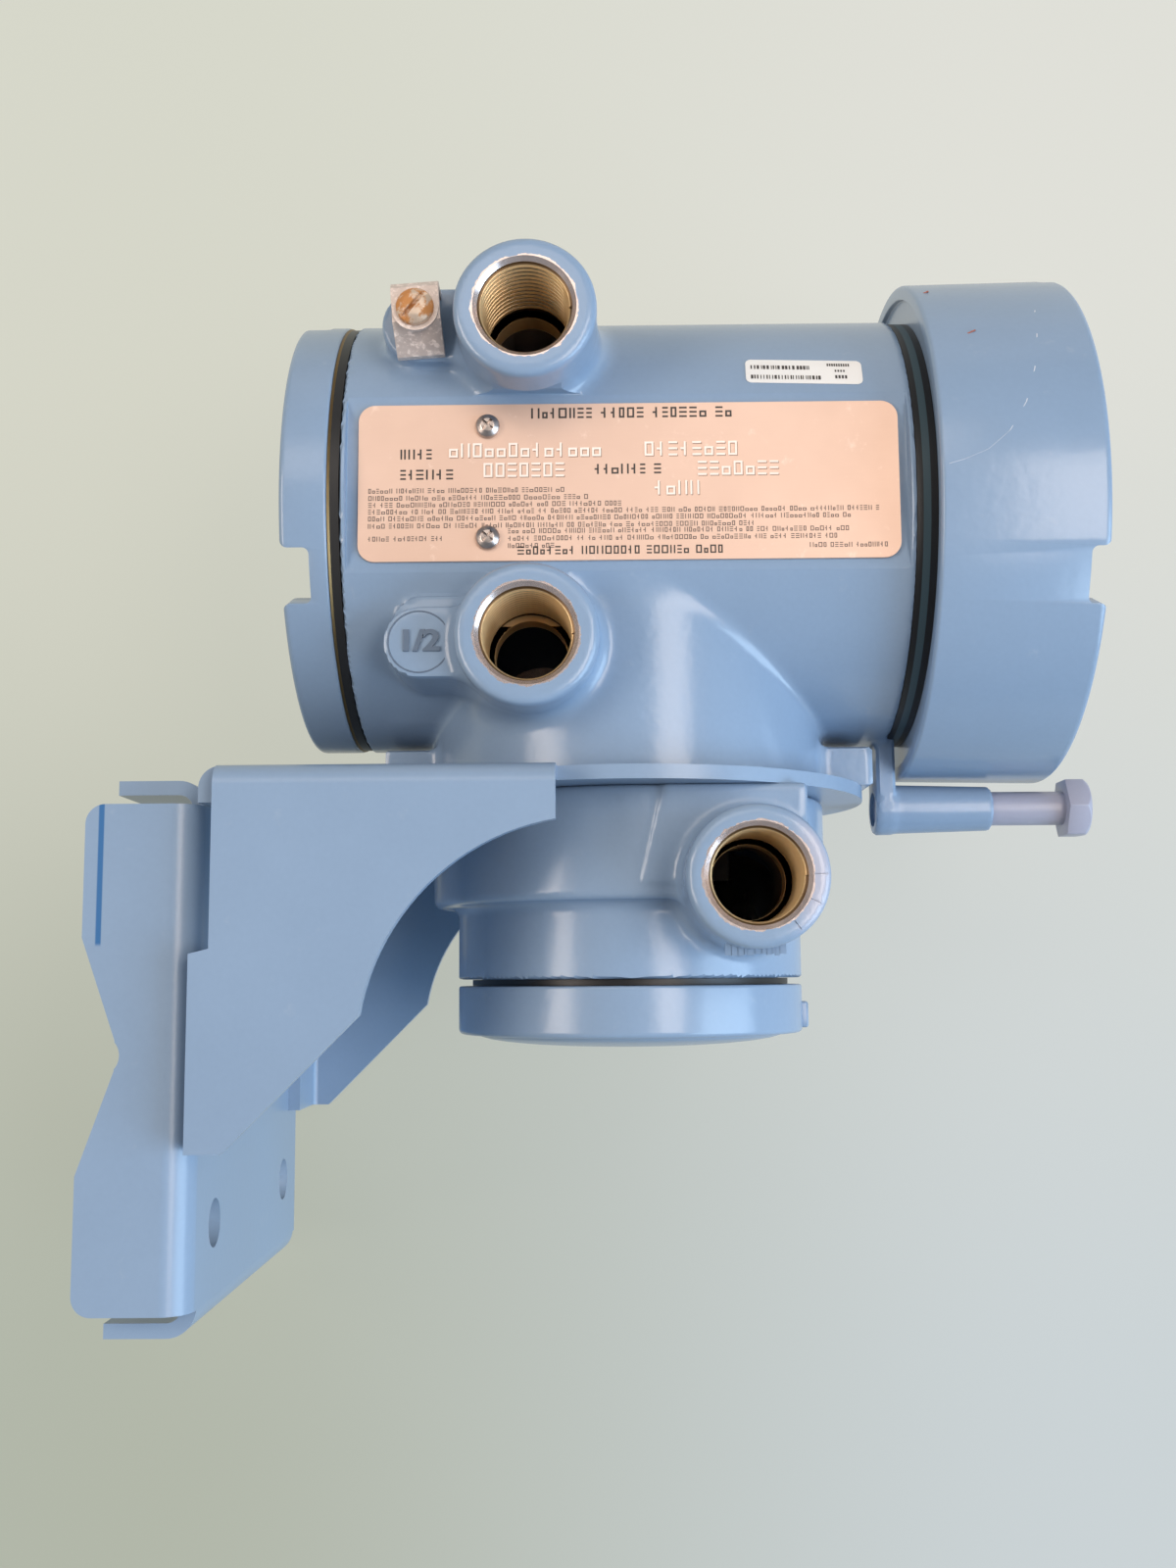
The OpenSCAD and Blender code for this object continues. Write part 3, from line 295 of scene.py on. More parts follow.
def apply_modifiers(piece):
    """Replaces the mesh by its evaluated form and removes the modifiers."""
    graph = bpy.context.evaluated_depsgraph_get()
    mesh = bpy.data.meshes.new_from_object(piece.evaluated_get(graph), depsgraph=graph)
    old = piece.data
    piece.modifiers.clear()
    piece.data = mesh
    mesh.name = piece.name
    bpy.data.meshes.remove(old)
    return piece


def cut(piece, *cutters):
    """Takes cutters out of a piece, one after another, and deletes them."""
    for cutter in cutters:
        hole = piece.modifiers.new("cut", "BOOLEAN")
        hole.operation, hole.solver, hole.object = "DIFFERENCE", "MANIFOLD", cutter
        apply_modifiers(piece)
        bpy.data.objects.remove(cutter)
    return piece


def fillets(profile, steps=5):
    """Outline of (station, radius, fillet) corners with each fillet drawn as an arc."""
    path = []
    count = len(profile)
    for i, (s, r, fillet) in enumerate(profile):
        here = Vector((s, r))
        before = Vector(profile[i - 1][:2]) - here
        after = Vector(profile[(i + 1) % count][:2]) - here
        if fillet <= 0 or before.length < 1e-6 or after.length < 1e-6:
            path.append((s, r))
            continue
        turn = before.angle(after)
        reach = min(fillet / math.tan(turn / 2), before.length * 0.49, after.length * 0.49)
        start, end = here + before.normalized() * reach, here + after.normalized() * reach
        for k in range(steps + 1):
            t = k / steps
            path.append(tuple((1 - t) ** 2 * start + 2 * t * (1 - t) * here + t ** 2 * end))
    return path


def turned(name, profile, axis="X", centre=(0, 0, 0), material=None, sides=160, smooth=35, steps=5):
    """Turned solid: a closed outline of (station, radius, fillet) corners spun about an axis."""
    path = fillets(profile, steps)
    points, rings = [], []
    for s, r in path:
        if r < 1e-6:
            rings.append([len(points)])
            points.append((s, 0.0, 0.0))
            continue
        rings.append(list(range(len(points), len(points) + sides)))
        for i in range(sides):
            a = 2 * math.pi * i / sides
            points.append((s, r * math.cos(a), r * math.sin(a)))
    faces = []
    for first, second in zip(rings, rings[1:] + rings[:1]):
        if len(first) == 1 and len(second) == 1:
            continue
        for i in range(sides):
            j = (i + 1) % sides
            corner = [first[i % len(first)], first[j % len(first)], second[j % len(second)], second[i % len(second)]]
            faces.append(list(dict.fromkeys(corner)))
    order = {"X": (0, 1, 2), "Y": (2, 0, 1), "Z": (1, 2, 0)}[axis]
    points = np.array(points)[:, order] + np.array(centre) + STEM
    piece = new_piece(name, points * MM, faces, material, smooth)
    outward(piece.data)
    return piece


def outward(mesh):
    """Merges doubles and points every face outwards."""
    bm = bmesh.new()
    bm.from_mesh(mesh)
    bmesh.ops.remove_doubles(bm, verts=bm.verts, dist=1e-7)
    bmesh.ops.recalc_face_normals(bm, faces=bm.faces)
    bm.to_mesh(mesh)
    bm.free()
    mesh.update()


def brick(name, low, high, material=None, turn=None):
    """Box between two corners, in millimetres about the stem point, turned about its middle if asked."""
    low, high = np.array(low, float), np.array(high, float)
    mesh = bpy.data.meshes.new(name)
    bm = bmesh.new()
    bmesh.ops.create_cube(bm, size=1.0)
    place = Matrix.Translation(Vector(((low + high) / 2 + STEM) * MM))
    if turn:
        place = place @ turn
    place = place @ Matrix.Diagonal(Vector([*((high - low) * MM), 1.0]))
    bmesh.ops.transform(bm, matrix=place, verts=bm.verts)
    bm.to_mesh(mesh)
    bm.free()
    return link_piece(name, mesh, material)


def bevel(piece, width, angle=40, segments=2):
    """Rounds the sharp edges of a piece, in millimetres."""
    edge = piece.modifiers.new("edge", "BEVEL")
    edge.width, edge.segments = width * MM, segments
    edge.limit_method, edge.angle_limit = "ANGLE", math.radians(angle)
    edge.use_clamp_overlap = True
    apply_modifiers(piece)
    finish_shading(piece.data)
    return piece


def even_normals(piece):
    """Flat faces shade flat beside their rounded edges."""
    weighting = piece.modifiers.new("normals", "WEIGHTED_NORMAL")
    weighting.keep_sharp = True
    weighting.weight = 80
    return apply_modifiers(piece)


def copy_of(node, name, width, material, angle=30, segments=2):
    """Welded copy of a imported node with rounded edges."""
    mesh = frame["nodes"][node].data.copy()
    mesh.name = name
    bm = bmesh.new()
    bm.from_mesh(mesh)
    bmesh.ops.remove_doubles(bm, verts=bm.verts, dist=2e-6)
    bmesh.ops.dissolve_limit(bm, angle_limit=math.radians(0.6), verts=bm.verts, edges=bm.edges)
    bmesh.ops.recalc_face_normals(bm, faces=bm.faces)
    bm.to_mesh(mesh)
    bm.free()
    piece = link_piece(name, mesh, material)
    if mesh.has_custom_normals:
        mesh.attributes.remove(mesh.attributes["custom_normal"]) if "custom_normal" in mesh.attributes else None
    return bevel(piece, width, angle, segments)


def show(piece, body, slot, *nodes):
    """Hangs a finished piece on its body, in place of the nodes that it stands for; its slot is not used."""
    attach(piece, body)
    if nodes:
        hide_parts(*nodes)


# ---- finishes ----


class Finish:
    """A material and its node tree, with short calls to add and join nodes."""

    def __init__(self, name):
        self.material = bpy.data.materials.new(name)
        self.material.use_nodes = True
        self.tree = self.material.node_tree
        self.shader = self.tree.nodes["Principled BSDF"]
        self.place = self.tree.nodes.new("ShaderNodeTexCoord").outputs["Object"]

    def node(self, kind, inputs=None, **settings):
        return add_node(self.tree, kind, inputs, **settings)

    def set(self, **values):
        for name, value in values.items():
            put(self.tree, self.shader.inputs[name.replace("_", " ")], value)
        return self


def put(tree, socket, value):
    """Joins a socket to another, or gives it a plain value."""
    if isinstance(value, bpy.types.NodeSocket):
        tree.links.new(value, socket)
    elif isinstance(value, (tuple, list)) and len(value) == 3 and socket.type == "RGBA":
        socket.default_value = (*value, 1.0)
    else:
        socket.default_value = value


def add_node(tree, kind, inputs=None, **settings):
    node = tree.nodes.new(kind)
    for name, value in settings.items():
        setattr(node, name, value)
    for name, value in (inputs or {}).items():
        put(tree, node.inputs[name], value)
    return node


def new_group(name, inputs, outputs):
    """Shader node group with named sockets: (name, kind, default) in, (name, kind) out."""
    tree = bpy.data.node_groups.new(name, "ShaderNodeTree")
    for label, kind, default in inputs:
        socket = tree.interface.new_socket(label, in_out="INPUT", socket_type="NodeSocket" + kind)
        if default is not None:
            socket.default_value = default
    for label, kind in outputs:
        tree.interface.new_socket(label, in_out="OUTPUT", socket_type="NodeSocket" + kind)
    return tree, tree.nodes.new("NodeGroupInput").outputs, tree.nodes.new("NodeGroupOutput").inputs


def mixed(tree, factor, a, b):
    """Colour between two colours."""
    node = tree.nodes.new("ShaderNodeMix")
    node.data_type = "RGBA"
    put(tree, node.inputs[0], factor)
    put(tree, node.inputs[6], a)
    put(tree, node.inputs[7], b)
    return node.outputs[2]


def maths(tree, operation, *values, clamp=False):
    node = tree.nodes.new("ShaderNodeMath")
    node.operation, node.use_clamp = operation, clamp
    for socket, value in zip(node.inputs, values):
        put(tree, socket, value)
    return node.outputs[0]


def noise(tree, place, scale, detail=2.0, rough=0.5):
    inputs = {"Vector": place, "Scale": scale, "Detail": detail, "Roughness": rough}
    return add_node(tree, "ShaderNodeTexNoise", inputs).outputs["Fac"]


def ramp(tree, value, low, high):
    """Steps smoothly from 0 at low to 1 at high."""
    node = add_node(tree, "ShaderNodeMapRange", {"Value": value, "From Min": low, "From Max": high})
    node.interpolation_type = "SMOOTHSTEP"
    return node.outputs["Result"]


def bump(tree, height, strength, distance):
    inputs = {"Height": height, "Strength": strength, "Distance": distance}
    return add_node(tree, "ShaderNodeBump", inputs).outputs["Normal"]


def make_film_group():
    """Sprayed paint film: faint clouds of tone, orange peel and small dust marks."""
    tree, given, out = new_group(
        "paint film",
        [("Place", "Vector", None), ("Paint", "Color", (0.2, 0.35, 0.6, 1)), ("Cloud", "Float", 0.1),
         ("Peel Size", "Float", 400.0), ("Gloss Roughness", "Float", 0.3)],
        [("Color", "Color"), ("Roughness", "Float"), ("Height", "Float")])
    clouds = noise(tree, given["Place"], 22.0, 4.0, 0.6)
    grain = noise(tree, given["Place"], 900.0, 2.0)
    tone = maths(tree, "ADD", maths(tree, "MULTIPLY", maths(tree, "SUBTRACT", clouds, 0.5), given["Cloud"]),
                 maths(tree, "MULTIPLY", maths(tree, "SUBTRACT", grain, 0.5), 0.05))
    light = add_node(tree, "ShaderNodeHueSaturation", {"Color": given["Paint"],
                     "Value": maths(tree, "ADD", tone, 1.0)}).outputs["Color"]
    dust = ramp(tree, noise(tree, given["Place"], 160.0, 5.0, 0.65), 0.62, 0.78)
    put(tree, out["Color"], mixed(tree, maths(tree, "MULTIPLY", dust, 0.10), light, (0.55, 0.56, 0.55)))
    put(tree, out["Roughness"], maths(tree, "ADD", given["Gloss Roughness"],
        maths(tree, "MULTIPLY", maths(tree, "SUBTRACT", clouds, 0.5), 0.12)))
    peel = noise(tree, given["Place"], given["Peel Size"], 1.0, 0.4)
    put(tree, out["Height"], maths(tree, "ADD", peel, maths(tree, "MULTIPLY", dust, 0.15)))
    return tree


FILM = make_film_group()
PAINT = (0.225, 0.315, 0.435)


def painted(name, colour=PAINT, peel=520.0, depth=0.00007, gloss=0.22):
    """Blue satin paint."""
    finish = Finish(name)
    film = finish.node("ShaderNodeGroup", node_tree=FILM)
    for label, value in (("Place", finish.place), ("Paint", colour), ("Cloud", 0.16), ("Peel Size", peel),
                         ("Gloss Roughness", gloss)):
        put(finish.tree, film.inputs[label], value)
    finish.film = film
    finish.set(Base_Color=film.outputs["Color"], Roughness=film.outputs["Roughness"],
               Normal=bump(finish.tree, film.outputs["Height"], 0.6, depth))
    finish.shader.inputs["Specular IOR Level"].default_value = 0.5
    return finish


WORN_PAINT = (0.46, 0.44, 0.50)
STICKER_TILT = -1.9
# Painted shade: a narrow strip of the folded sheets, darker and bluer than their paint.
SHADE_STRIP_BLUE = (0.035, 0.135, 0.310)
SHADE_STRIP_Z = 0.0215
RUSTY_HOLE = (-0.0185, 0.0355, -0.0355)


def bare_entries(finish, names):
    """Bare metal inside the conduit entries, with a chipped edge of paint round each mouth."""
    tree = finish.tree
    split = add_node(tree, "ShaderNodeSeparateXYZ", {"Vector": finish.place}).outputs
    nearest = None
    for name in names:
        spot = (ENTRIES[name][0] + STEM) * MM
        reach = reach_of(finish, spot)
        if name == "wiring_entry":
            side = ramp(tree, maths(tree, "SUBTRACT", split["X"], float(spot[0])), 0.005, 0.012)
            worn = maths(tree, "MULTIPLY", side, maths(tree, "SUBTRACT", 1.0, ramp(tree, reach, 0.0135, 0.0146)))
        nearest = reach if nearest is None else maths(tree, "MINIMUM", nearest, reach)
    chips = noise(tree, finish.place, 260.0, 4.0, 0.7)
    edge = maths(tree, "ADD", nearest, maths(tree, "MULTIPLY", maths(tree, "SUBTRACT", chips, 0.5), 0.0022))
    bare = maths(tree, "SUBTRACT", 1.0, ramp(tree, edge, 0.01105, 0.0112))
    stain = noise(tree, finish.place, 300.0, 4.0, 0.6)
    metal = mixed(tree, stain, (0.52, 0.42, 0.38), (0.80, 0.70, 0.66))
    rubbed = mixed(tree, maths(tree, "MULTIPLY", worn, 0.65), finish.film.outputs["Color"], WORN_PAINT)
    finish.set(Base_Color=mixed(tree, bare, rubbed, metal),
               Metallic=maths(tree, "MULTIPLY", bare, 0.8),
               Roughness=maths(tree, "ADD", finish.film.outputs["Roughness"], maths(tree, "MULTIPLY", bare, 0.04)))
    return finish


def rusty_hole_and_shade_strip(finish):
    """Rust in the mounting hole farthest from the front, low on the saddle, and a narrow upright strip of painted
    shade, darker and bluer than the paint, above a set height on the sheet.
    """
    tree = finish.tree
    away = finish.node("ShaderNodeVectorMath", {0: finish.place, 1: RUSTY_HOLE}, operation="DISTANCE").outputs["Value"]
    chips = noise(tree, finish.place, 400.0, 4.0, 0.7)
    edge = maths(tree, "ADD", away, maths(tree, "MULTIPLY", maths(tree, "SUBTRACT", chips, 0.5), 0.0016))
    rust = maths(tree, "SUBTRACT", 1.0, ramp(tree, edge, 0.0054, 0.0058))
    tone = mixed(tree, chips, (0.16, 0.05, 0.015), (0.50, 0.22, 0.07))
    split = add_node(tree, "ShaderNodeSeparateXYZ", {"Vector": finish.place}).outputs
    # Painted shade: a narrow upright band, above a set height, coloured darker and bluer than the paint.
    behind = maths(tree, "MULTIPLY", ramp(tree, split["Z"], SHADE_STRIP_Z, SHADE_STRIP_Z + 0.001),
                   maths(tree, "MULTIPLY", ramp(tree, split["X"], -0.01745, -0.0171),
                         maths(tree, "SUBTRACT", 1.0, ramp(tree, split["X"], -0.0163, -0.0160))))
    shade = mixed(tree, behind, finish.film.outputs["Color"], SHADE_STRIP_BLUE)
    finish.set(Base_Color=mixed(tree, rust, shade, tone))
    return finish


def metal(name, colour, roughness=0.3, spots=None, scale=180.0, tone=0.25, spread=0.5,
          shine=1.0):
    """Bare or plated metal, clouded, with optional stains of a second colour."""
    finish = Finish(name)
    tree = finish.tree
    clouds = noise(tree, finish.place, scale, 4.0, 0.6)
    dark = tuple(c * (1 - tone) for c in colour)
    shade = mixed(tree, clouds, dark, colour)
    rough = maths(tree, "ADD", roughness, maths(tree, "MULTIPLY", maths(tree, "SUBTRACT", clouds, 0.5), 0.2))
    metallic = shine
    if spots:
        stain = ramp(tree, noise(tree, finish.place, scale * 2.2, 5.0, 0.7), spread, spread + 0.12)
        shade = mixed(tree, stain, shade, spots)
        rough = maths(tree, "ADD", rough, maths(tree, "MULTIPLY", stain, 0.4))
        metallic = maths(tree, "MULTIPLY", shine, maths(tree, "SUBTRACT", 1.0, maths(tree, "MULTIPLY", stain, 0.8)))
    finish.set(Base_Color=shade, Roughness=rough, Metallic=metallic,
               Normal=bump(tree, clouds, 0.3, 0.00008))
    return finish


def plastic(name, colour, roughness=0.5, grain=900.0):
    finish = Finish(name)
    tree = finish.tree
    fine = noise(tree, finish.place, grain, 2.0)
    clouds = noise(tree, finish.place, 40.0, 3.0)
    finish.set(Base_Color=mixed(tree, clouds, tuple(c * 0.85 for c in colour), tuple(min(c * 1.12, 1) for c in colour)),
               Roughness=maths(tree, "ADD", roughness, maths(tree, "MULTIPLY", maths(tree, "SUBTRACT", fine, 0.5), 0.1)),
               Normal=bump(tree, fine, 0.25, 0.00004))
    return finish


def rubber_finish():
    """Black seal rubber, with a dark grey-blue band of painted shade beside the display cover's rim, standing for the
    rim's painted face in shadow.
    """
    finish = Finish("seal rubber")
    tree = finish.tree
    along = add_node(tree, "ShaderNodeSeparateXYZ", {"Vector": finish.place}).outputs["X"]
    rim = (display_low[0] + STEM[0]) * MM
    # Painted shade: a dark grey-blue band across the seal near the rim, where the cover's painted rim face lies in
    # shadow.
    shaded_rim_band = maths(tree, "MULTIPLY", ramp(tree, along, rim - 0.0021, rim - 0.0019),
                   maths(tree, "SUBTRACT", 1.0, ramp(tree, along, rim - 0.0005, rim - 0.0003)))
    finish.set(Base_Color=mixed(tree, shaded_rim_band, (0.012, 0.012, 0.012), (0.050, 0.085, 0.100)), Roughness=0.42)
    return finish.material


def nameplate_finish():
    """Pale steel sheet, finely rolled and blotched; its warm pink tone is a painted reflection of warm light."""
    finish = Finish("rolled plate steel")
    tree = finish.tree
    stretch = finish.node("ShaderNodeMapping", {"Vector": finish.place, "Scale": (0.06, 1.0, 1.0)}).outputs[0]
    grain = noise(tree, stretch, 2600.0, 3.0)
    clouds = noise(tree, finish.place, 28.0, 4.0, 0.6)
    stains = ramp(tree, noise(tree, finish.place, 240.0, 5.0, 0.7), 0.6, 0.75)
    # Painted reflection: the warm pink colours stand for warm light mirrored by the steel.
    shade = mixed(tree, clouds, (0.62, 0.43, 0.33), (0.80, 0.58, 0.46))
    shade = mixed(tree, maths(tree, "MULTIPLY", stains, 0.4), shade, (0.92, 0.74, 0.64))
    finish.set(Base_Color=shade, Metallic=0.62,
               Roughness=maths(tree, "ADD", 0.44, maths(tree, "MULTIPLY", grain, 0.12)),
               Normal=bump(tree, grain, 0.12, 0.00003))
    return finish.material


def reach_of(finish, spot):
    """Distance of the surface from an axis along Y through a point of the assembly, in metres."""
    tree = finish.tree
    split = add_node(tree, "ShaderNodeSeparateXYZ", {"Vector": finish.place}).outputs
    dx = maths(tree, "SUBTRACT", split["X"], float(spot[0]))
    dz = maths(tree, "SUBTRACT", split["Z"], float(spot[2]))
    return maths(tree, "SQRT", maths(tree, "ADD", maths(tree, "MULTIPLY", dx, dx), maths(tree, "MULTIPLY", dz, dz)))


def thread_finish():
    """Yellow chromated thread: bright crests, with painted shade darkening the roots between them."""
    finish = Finish("chromated thread")
    tree = finish.tree
    nearest = None
    for mouth, _, _ in ENTRIES.values():
        reach = reach_of(finish, (mouth + STEM) * MM)
        nearest = reach if nearest is None else maths(tree, "MINIMUM", nearest, reach)
    clouds = noise(tree, finish.place, 150.0, 3.0, 0.6)
    crest = mixed(tree, clouds, (0.90, 0.60, 0.28), (1.0, 0.80, 0.48))
    # Painted shade: the surface turns dark brown towards the roots of the thread.
    root = ramp(tree, nearest, 0.00922, 0.00955)
    finish.set(Base_Color=mixed(tree, root, crest, (0.10, 0.055, 0.02)), Metallic=0.6, Roughness=0.32)
    return finish.material


def glass_finish():
    finish = Finish("window glass")
    shader = finish.shader.inputs
    shader["Base Color"].default_value = (0.93, 0.97, 0.96, 1)
    shader["Roughness"].default_value = 0.02
    shader["IOR"].default_value = 1.45
    shader["Transmission Weight"].default_value = 1.0
    smear = noise(finish.tree, finish.place, 60.0, 4.0)
    put(finish.tree, shader["Normal"], bump(finish.tree, smear, 0.02, 0.0002))
    return finish.material


CAST_PAINT = bare_entries(painted("cast paint"), ENTRIES).material
COVER_PAINT = painted("cover paint", peel=460.0).material
SHEET_PAINT = rusty_hole_and_shade_strip(painted("sheet paint", peel=600.0, depth=0.00003, gloss=0.30)).material
# The size figures and their ring are coloured darker than the casting.
MARK_PAINT = painted("size mark paint", (0.120, 0.165, 0.230)).material
RUBBER = rubber_finish()
GREASE = metal("old thread grease", (0.30, 0.20, 0.09), 0.45, tone=0.5).material
THREAD = thread_finish()
TURNED = metal("turned aluminium", (0.72, 0.70, 0.69), 0.28).material
ZINC = metal("dulled zinc", (0.70, 0.60, 0.54), 0.45, spots=(0.80, 0.70, 0.64), scale=300.0, shine=0.35).material
RUSTY = metal("rusted zinc", (0.74, 0.58, 0.44), 0.42, spots=(0.50, 0.22, 0.07), scale=150.0, spread=0.43, shine=0.5).material
BRIGHT = metal("stainless steel", (0.56, 0.49, 0.45), 0.34, scale=500.0).material
BOLT = painted("oversprayed bolt", (0.33, 0.34, 0.42), gloss=0.34).material
SCRATCH = plastic("scratched paint", (0.62, 0.64, 0.68), 0.5).material
SPECK = plastic("red brown speck", (0.30, 0.10, 0.07), 0.5).material
GREEN = metal("green ground screw", (0.10, 0.36, 0.16), 0.35).material
BLACK = plastic("black plastic", (0.022, 0.022, 0.025)).material
MODULE = plastic("grey module plastic", (0.10, 0.11, 0.12), 0.55).material
BOARD = plastic("board mask", (0.02, 0.13, 0.06), 0.35).material
PANEL = plastic("display panel", (0.34, 0.39, 0.29), 0.12).material
LENS = plastic("infrared window", (0.06, 0.01, 0.015), 0.08).material
FILM_WHITE = plastic("white film", (0.80, 0.79, 0.76), 0.32).material
INK = plastic("plate ink", (0.035, 0.028, 0.024), 0.5).material
FINE_INK = plastic("fine plate ink", (0.13, 0.095, 0.08), 0.5).material
# Painted highlight: the pale colour of the stamped marks.
STAMP_HIGHLIGHT = plastic("stamped relief", (0.90, 0.76, 0.66), 0.35).material
STAMP_SHADE = plastic("shade beside the stamping", (0.30, 0.19, 0.13), 0.5).material
PLATE = nameplate_finish()
GLASS = glass_finish()

SLOT_FINISH = {
    "cast_paint": CAST_PAINT, "sheet_paint": SHEET_PAINT, "seal_rubber": RUBBER, "window_glass": GLASS,
    "machined_aluminium": TURNED, "black_plastic": BLACK, "module_plastic": MODULE, "board_green": BOARD,
    "display_panel": PANEL, "dark_lens": LENS, "bright_screws": BRIGHT, "green_screw": GREEN,
    "plate_steel": PLATE, "white_film": FILM_WHITE, "zinc_steel": ZINC, "rusty_steel": RUSTY, "bolt_steel": BOLT}


def finish_nodes():
    """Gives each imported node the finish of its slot."""
    for part in frame["record"]["subparts"]:
        node = frame["nodes"][part["node"]]
        if not node.material_slots:
            node.data.materials.append(None)
        for slot in node.material_slots:
            slot.link = "OBJECT"
            slot.material = SLOT_FINISH[part["material_slot"]]


# ---- castings ----


def entry_cutter(name):
    """Turned cutter of one conduit entry: chamfer, threaded wall and plain core."""
    mouth, radius, depth = ENTRIES[name]
    wide = radius + ENTRY_CHAMFER
    profile = [(-3, 0, 0), (-3, wide, 0), (0, wide, 0), (ENTRY_CHAMFER, radius, 0), (depth, radius, 0),
               (depth, ENTRY_CORE_R, 0), (-mouth[1] - 12, ENTRY_CORE_R, 0), (-mouth[1] - 12, 0, 0)]
    return turned("cutter", profile, "Y", mouth, sides=96)


def make_main_housing():
    low = [BARREL_X[0] - 2, -66, PLATE_TOP - 8]
    high = [NECK_X + 10, BARREL_R + 3, BARREL_R + 3]
    low[2] = LOCK_Z - 9
    points, faces = skin(main_casting, low, high, 1.0)
    piece = new_piece("main_casting", points, faces, CAST_PAINT)
    left, right = BARREL_X
    terminal_bay = turned("cutter", [(left - 4, 0, 0), (left - 4, 45.3, 0), (left + 13, 45.3, 0), (left + 13, 43, 0),
                                     (-1, 43, 0), (-1, 0, 0)])
    electronics_bay = turned("cutter", [(7, 0, 0), (7, 43, 0), (NECK_X + 4, 43, 0), (NECK_X + 4, 0, 0)])
    passage = turned("cutter", [(PLATE_TOP - 3, 0, 0), (PLATE_TOP - 3, 8, 0), (-35, 8, 0), (-35, 0, 0)],
                     "Z", (16, 0, 0), sides=48)
    lock = turned("cutter", [(50, 0, 0), (50, 4.05, 0), (95, 4.05, 0), (95, 0, 0)], "X", (0, 0, LOCK_Z), sides=48)
    half_flat = math.sqrt(BARREL_R ** 2 - FLAT_Y ** 2) + 0.5
    flat = bevel(brick("cutter", (left + 1.1, -BARREL_R - 3, -half_flat), (right - 1.1, FLAT_Y, half_flat)), 0.45)
    cut(piece, terminal_bay, electronics_bay, passage, lock, flat, entry_cutter("conduit_upper"),
        entry_cutter("conduit_lower"))
    finish_shading(piece.data)
    show(piece, "housing", "cast_paint", "main_housing", *[n for n in frame["nodes"] if n.endswith("_entry_boss")])


def rim_cracks():
    """Thin radial cracks across the face of the wiring entry."""
    mouth = ENTRIES["wiring_entry"][0]
    cracks = []
    for angle, near, far in ((1, 10.6, 15.2), (-25, 10.6, 14.4), (-53, 11.2, 14.0)):
        a = math.radians(angle)
        x, z = mouth[0] + math.cos(a) * (near + far) / 2, mouth[2] + math.sin(a) * (near + far) / 2
        half = (far - near) / 2
        cracks.append(brick("cutter", (x - half, mouth[1] - 0.5, z - 0.09), (x + half, mouth[1] + 0.35, z + 0.09),
                            turn=Matrix.Rotation(-a, 4, "Y")))
    return cracks


def make_wiring_housing():
    points, faces = skin(wiring_casting, (-50, -66, wiring_low[2] - 3), (50, 50, PLATE_BOTTOM + 3), 1.0)
    piece = new_piece("wiring_casting", points, faces, CAST_PAINT)
    ceiling = PLATE_BOTTOM - 7.2
    bottom = wiring_low[2]
    bay = turned("cutter", [(bottom - 3, 0, 0), (bottom - 3, 34.9, 0), (bottom + 10, 34.9, 0), (bottom + 10, 36, 0),
                            (ceiling, 36, 0), (ceiling, 18, 0), (PLATE_BOTTOM + 3, 18, 0), (PLATE_BOTTOM + 3, 0, 0)], "Z")
    cut(piece, bay, entry_cutter("wiring_entry"), *rim_cracks())
    finish_shading(piece.data)
    show(piece, "housing", "cast_paint", "wiring_housing")


# ---- covers ----


def castle_cutters(floor, mouth, outer, inner):
    """Cutters of a cover's four castle notches: rounded at the floor and flared at the mouth."""
    corner, flare, half_width, steps = 1.4, 1.8, 6.0, 5
    out = 1 if mouth > floor else -1
    outline = []
    for k in range(steps + 1):
        a = math.pi / 2 * k / steps
        outline.append((floor + out * corner * (1 - math.sin(a)), half_width - corner * (1 - math.cos(a))))
    outline.reverse()
    outline = outline[::-1]
    for k in range(steps + 1):
        a = math.pi / 2 * k / steps
        outline.append((mouth - out * flare * (1 - math.sin(a)), half_width + flare * (1 - math.cos(a))))
    outline.append((mouth + out * 3, half_width + flare))
    outline = sorted(outline, key=lambda q: out * q[0])
    ring = outline + [(x, -w) for x, w in reversed(outline)]
    cutters = []
    for i in range(4):
        turn = Matrix.Rotation(math.radians(180 + 23 + 90 * i), 3, "X")
        points = [turn @ Vector((x, y, w)) for y in (inner - 2, outer + 3) for x, w in ring]
        count = len(ring)
        faces = [list(range(count)), list(range(count, 2 * count))]
        faces += [[k, (k + 1) % count, (k + 1) % count + count, k + count] for k in range(count)]
        cutter = new_piece("cutter", (np.array(points) + STEM) * MM, faces)
        outward(cutter.data)
        cutters.append(cutter)
    return cutters


def make_terminal_cover():
    face, skirt = terminal_low[0], terminal_high[0] - 12
    floor = skirt - 4
    spigot = 45.0
    profile = [(floor, 0, 0), (floor, 43, 1.2), (face, 43, 0.8), (face, BARREL_R, 1.5), (skirt, BARREL_R, 0.8),
               (skirt, spigot, 0.3), (terminal_high[0], spigot, 0.6), (terminal_high[0], spigot - 4, 0.3),
               (skirt, spigot - 4, 0.5), (skirt, 0, 0)]
    piece = turned("terminal_end_cover", profile, "X", material=COVER_PAINT, sides=192)
    cut(piece, *castle_cutters(floor, face, BARREL_R, 43))
    bevel(piece, 0.5, 50)
    show(piece, "terminal_cover", "cast_paint", "terminal_cover")


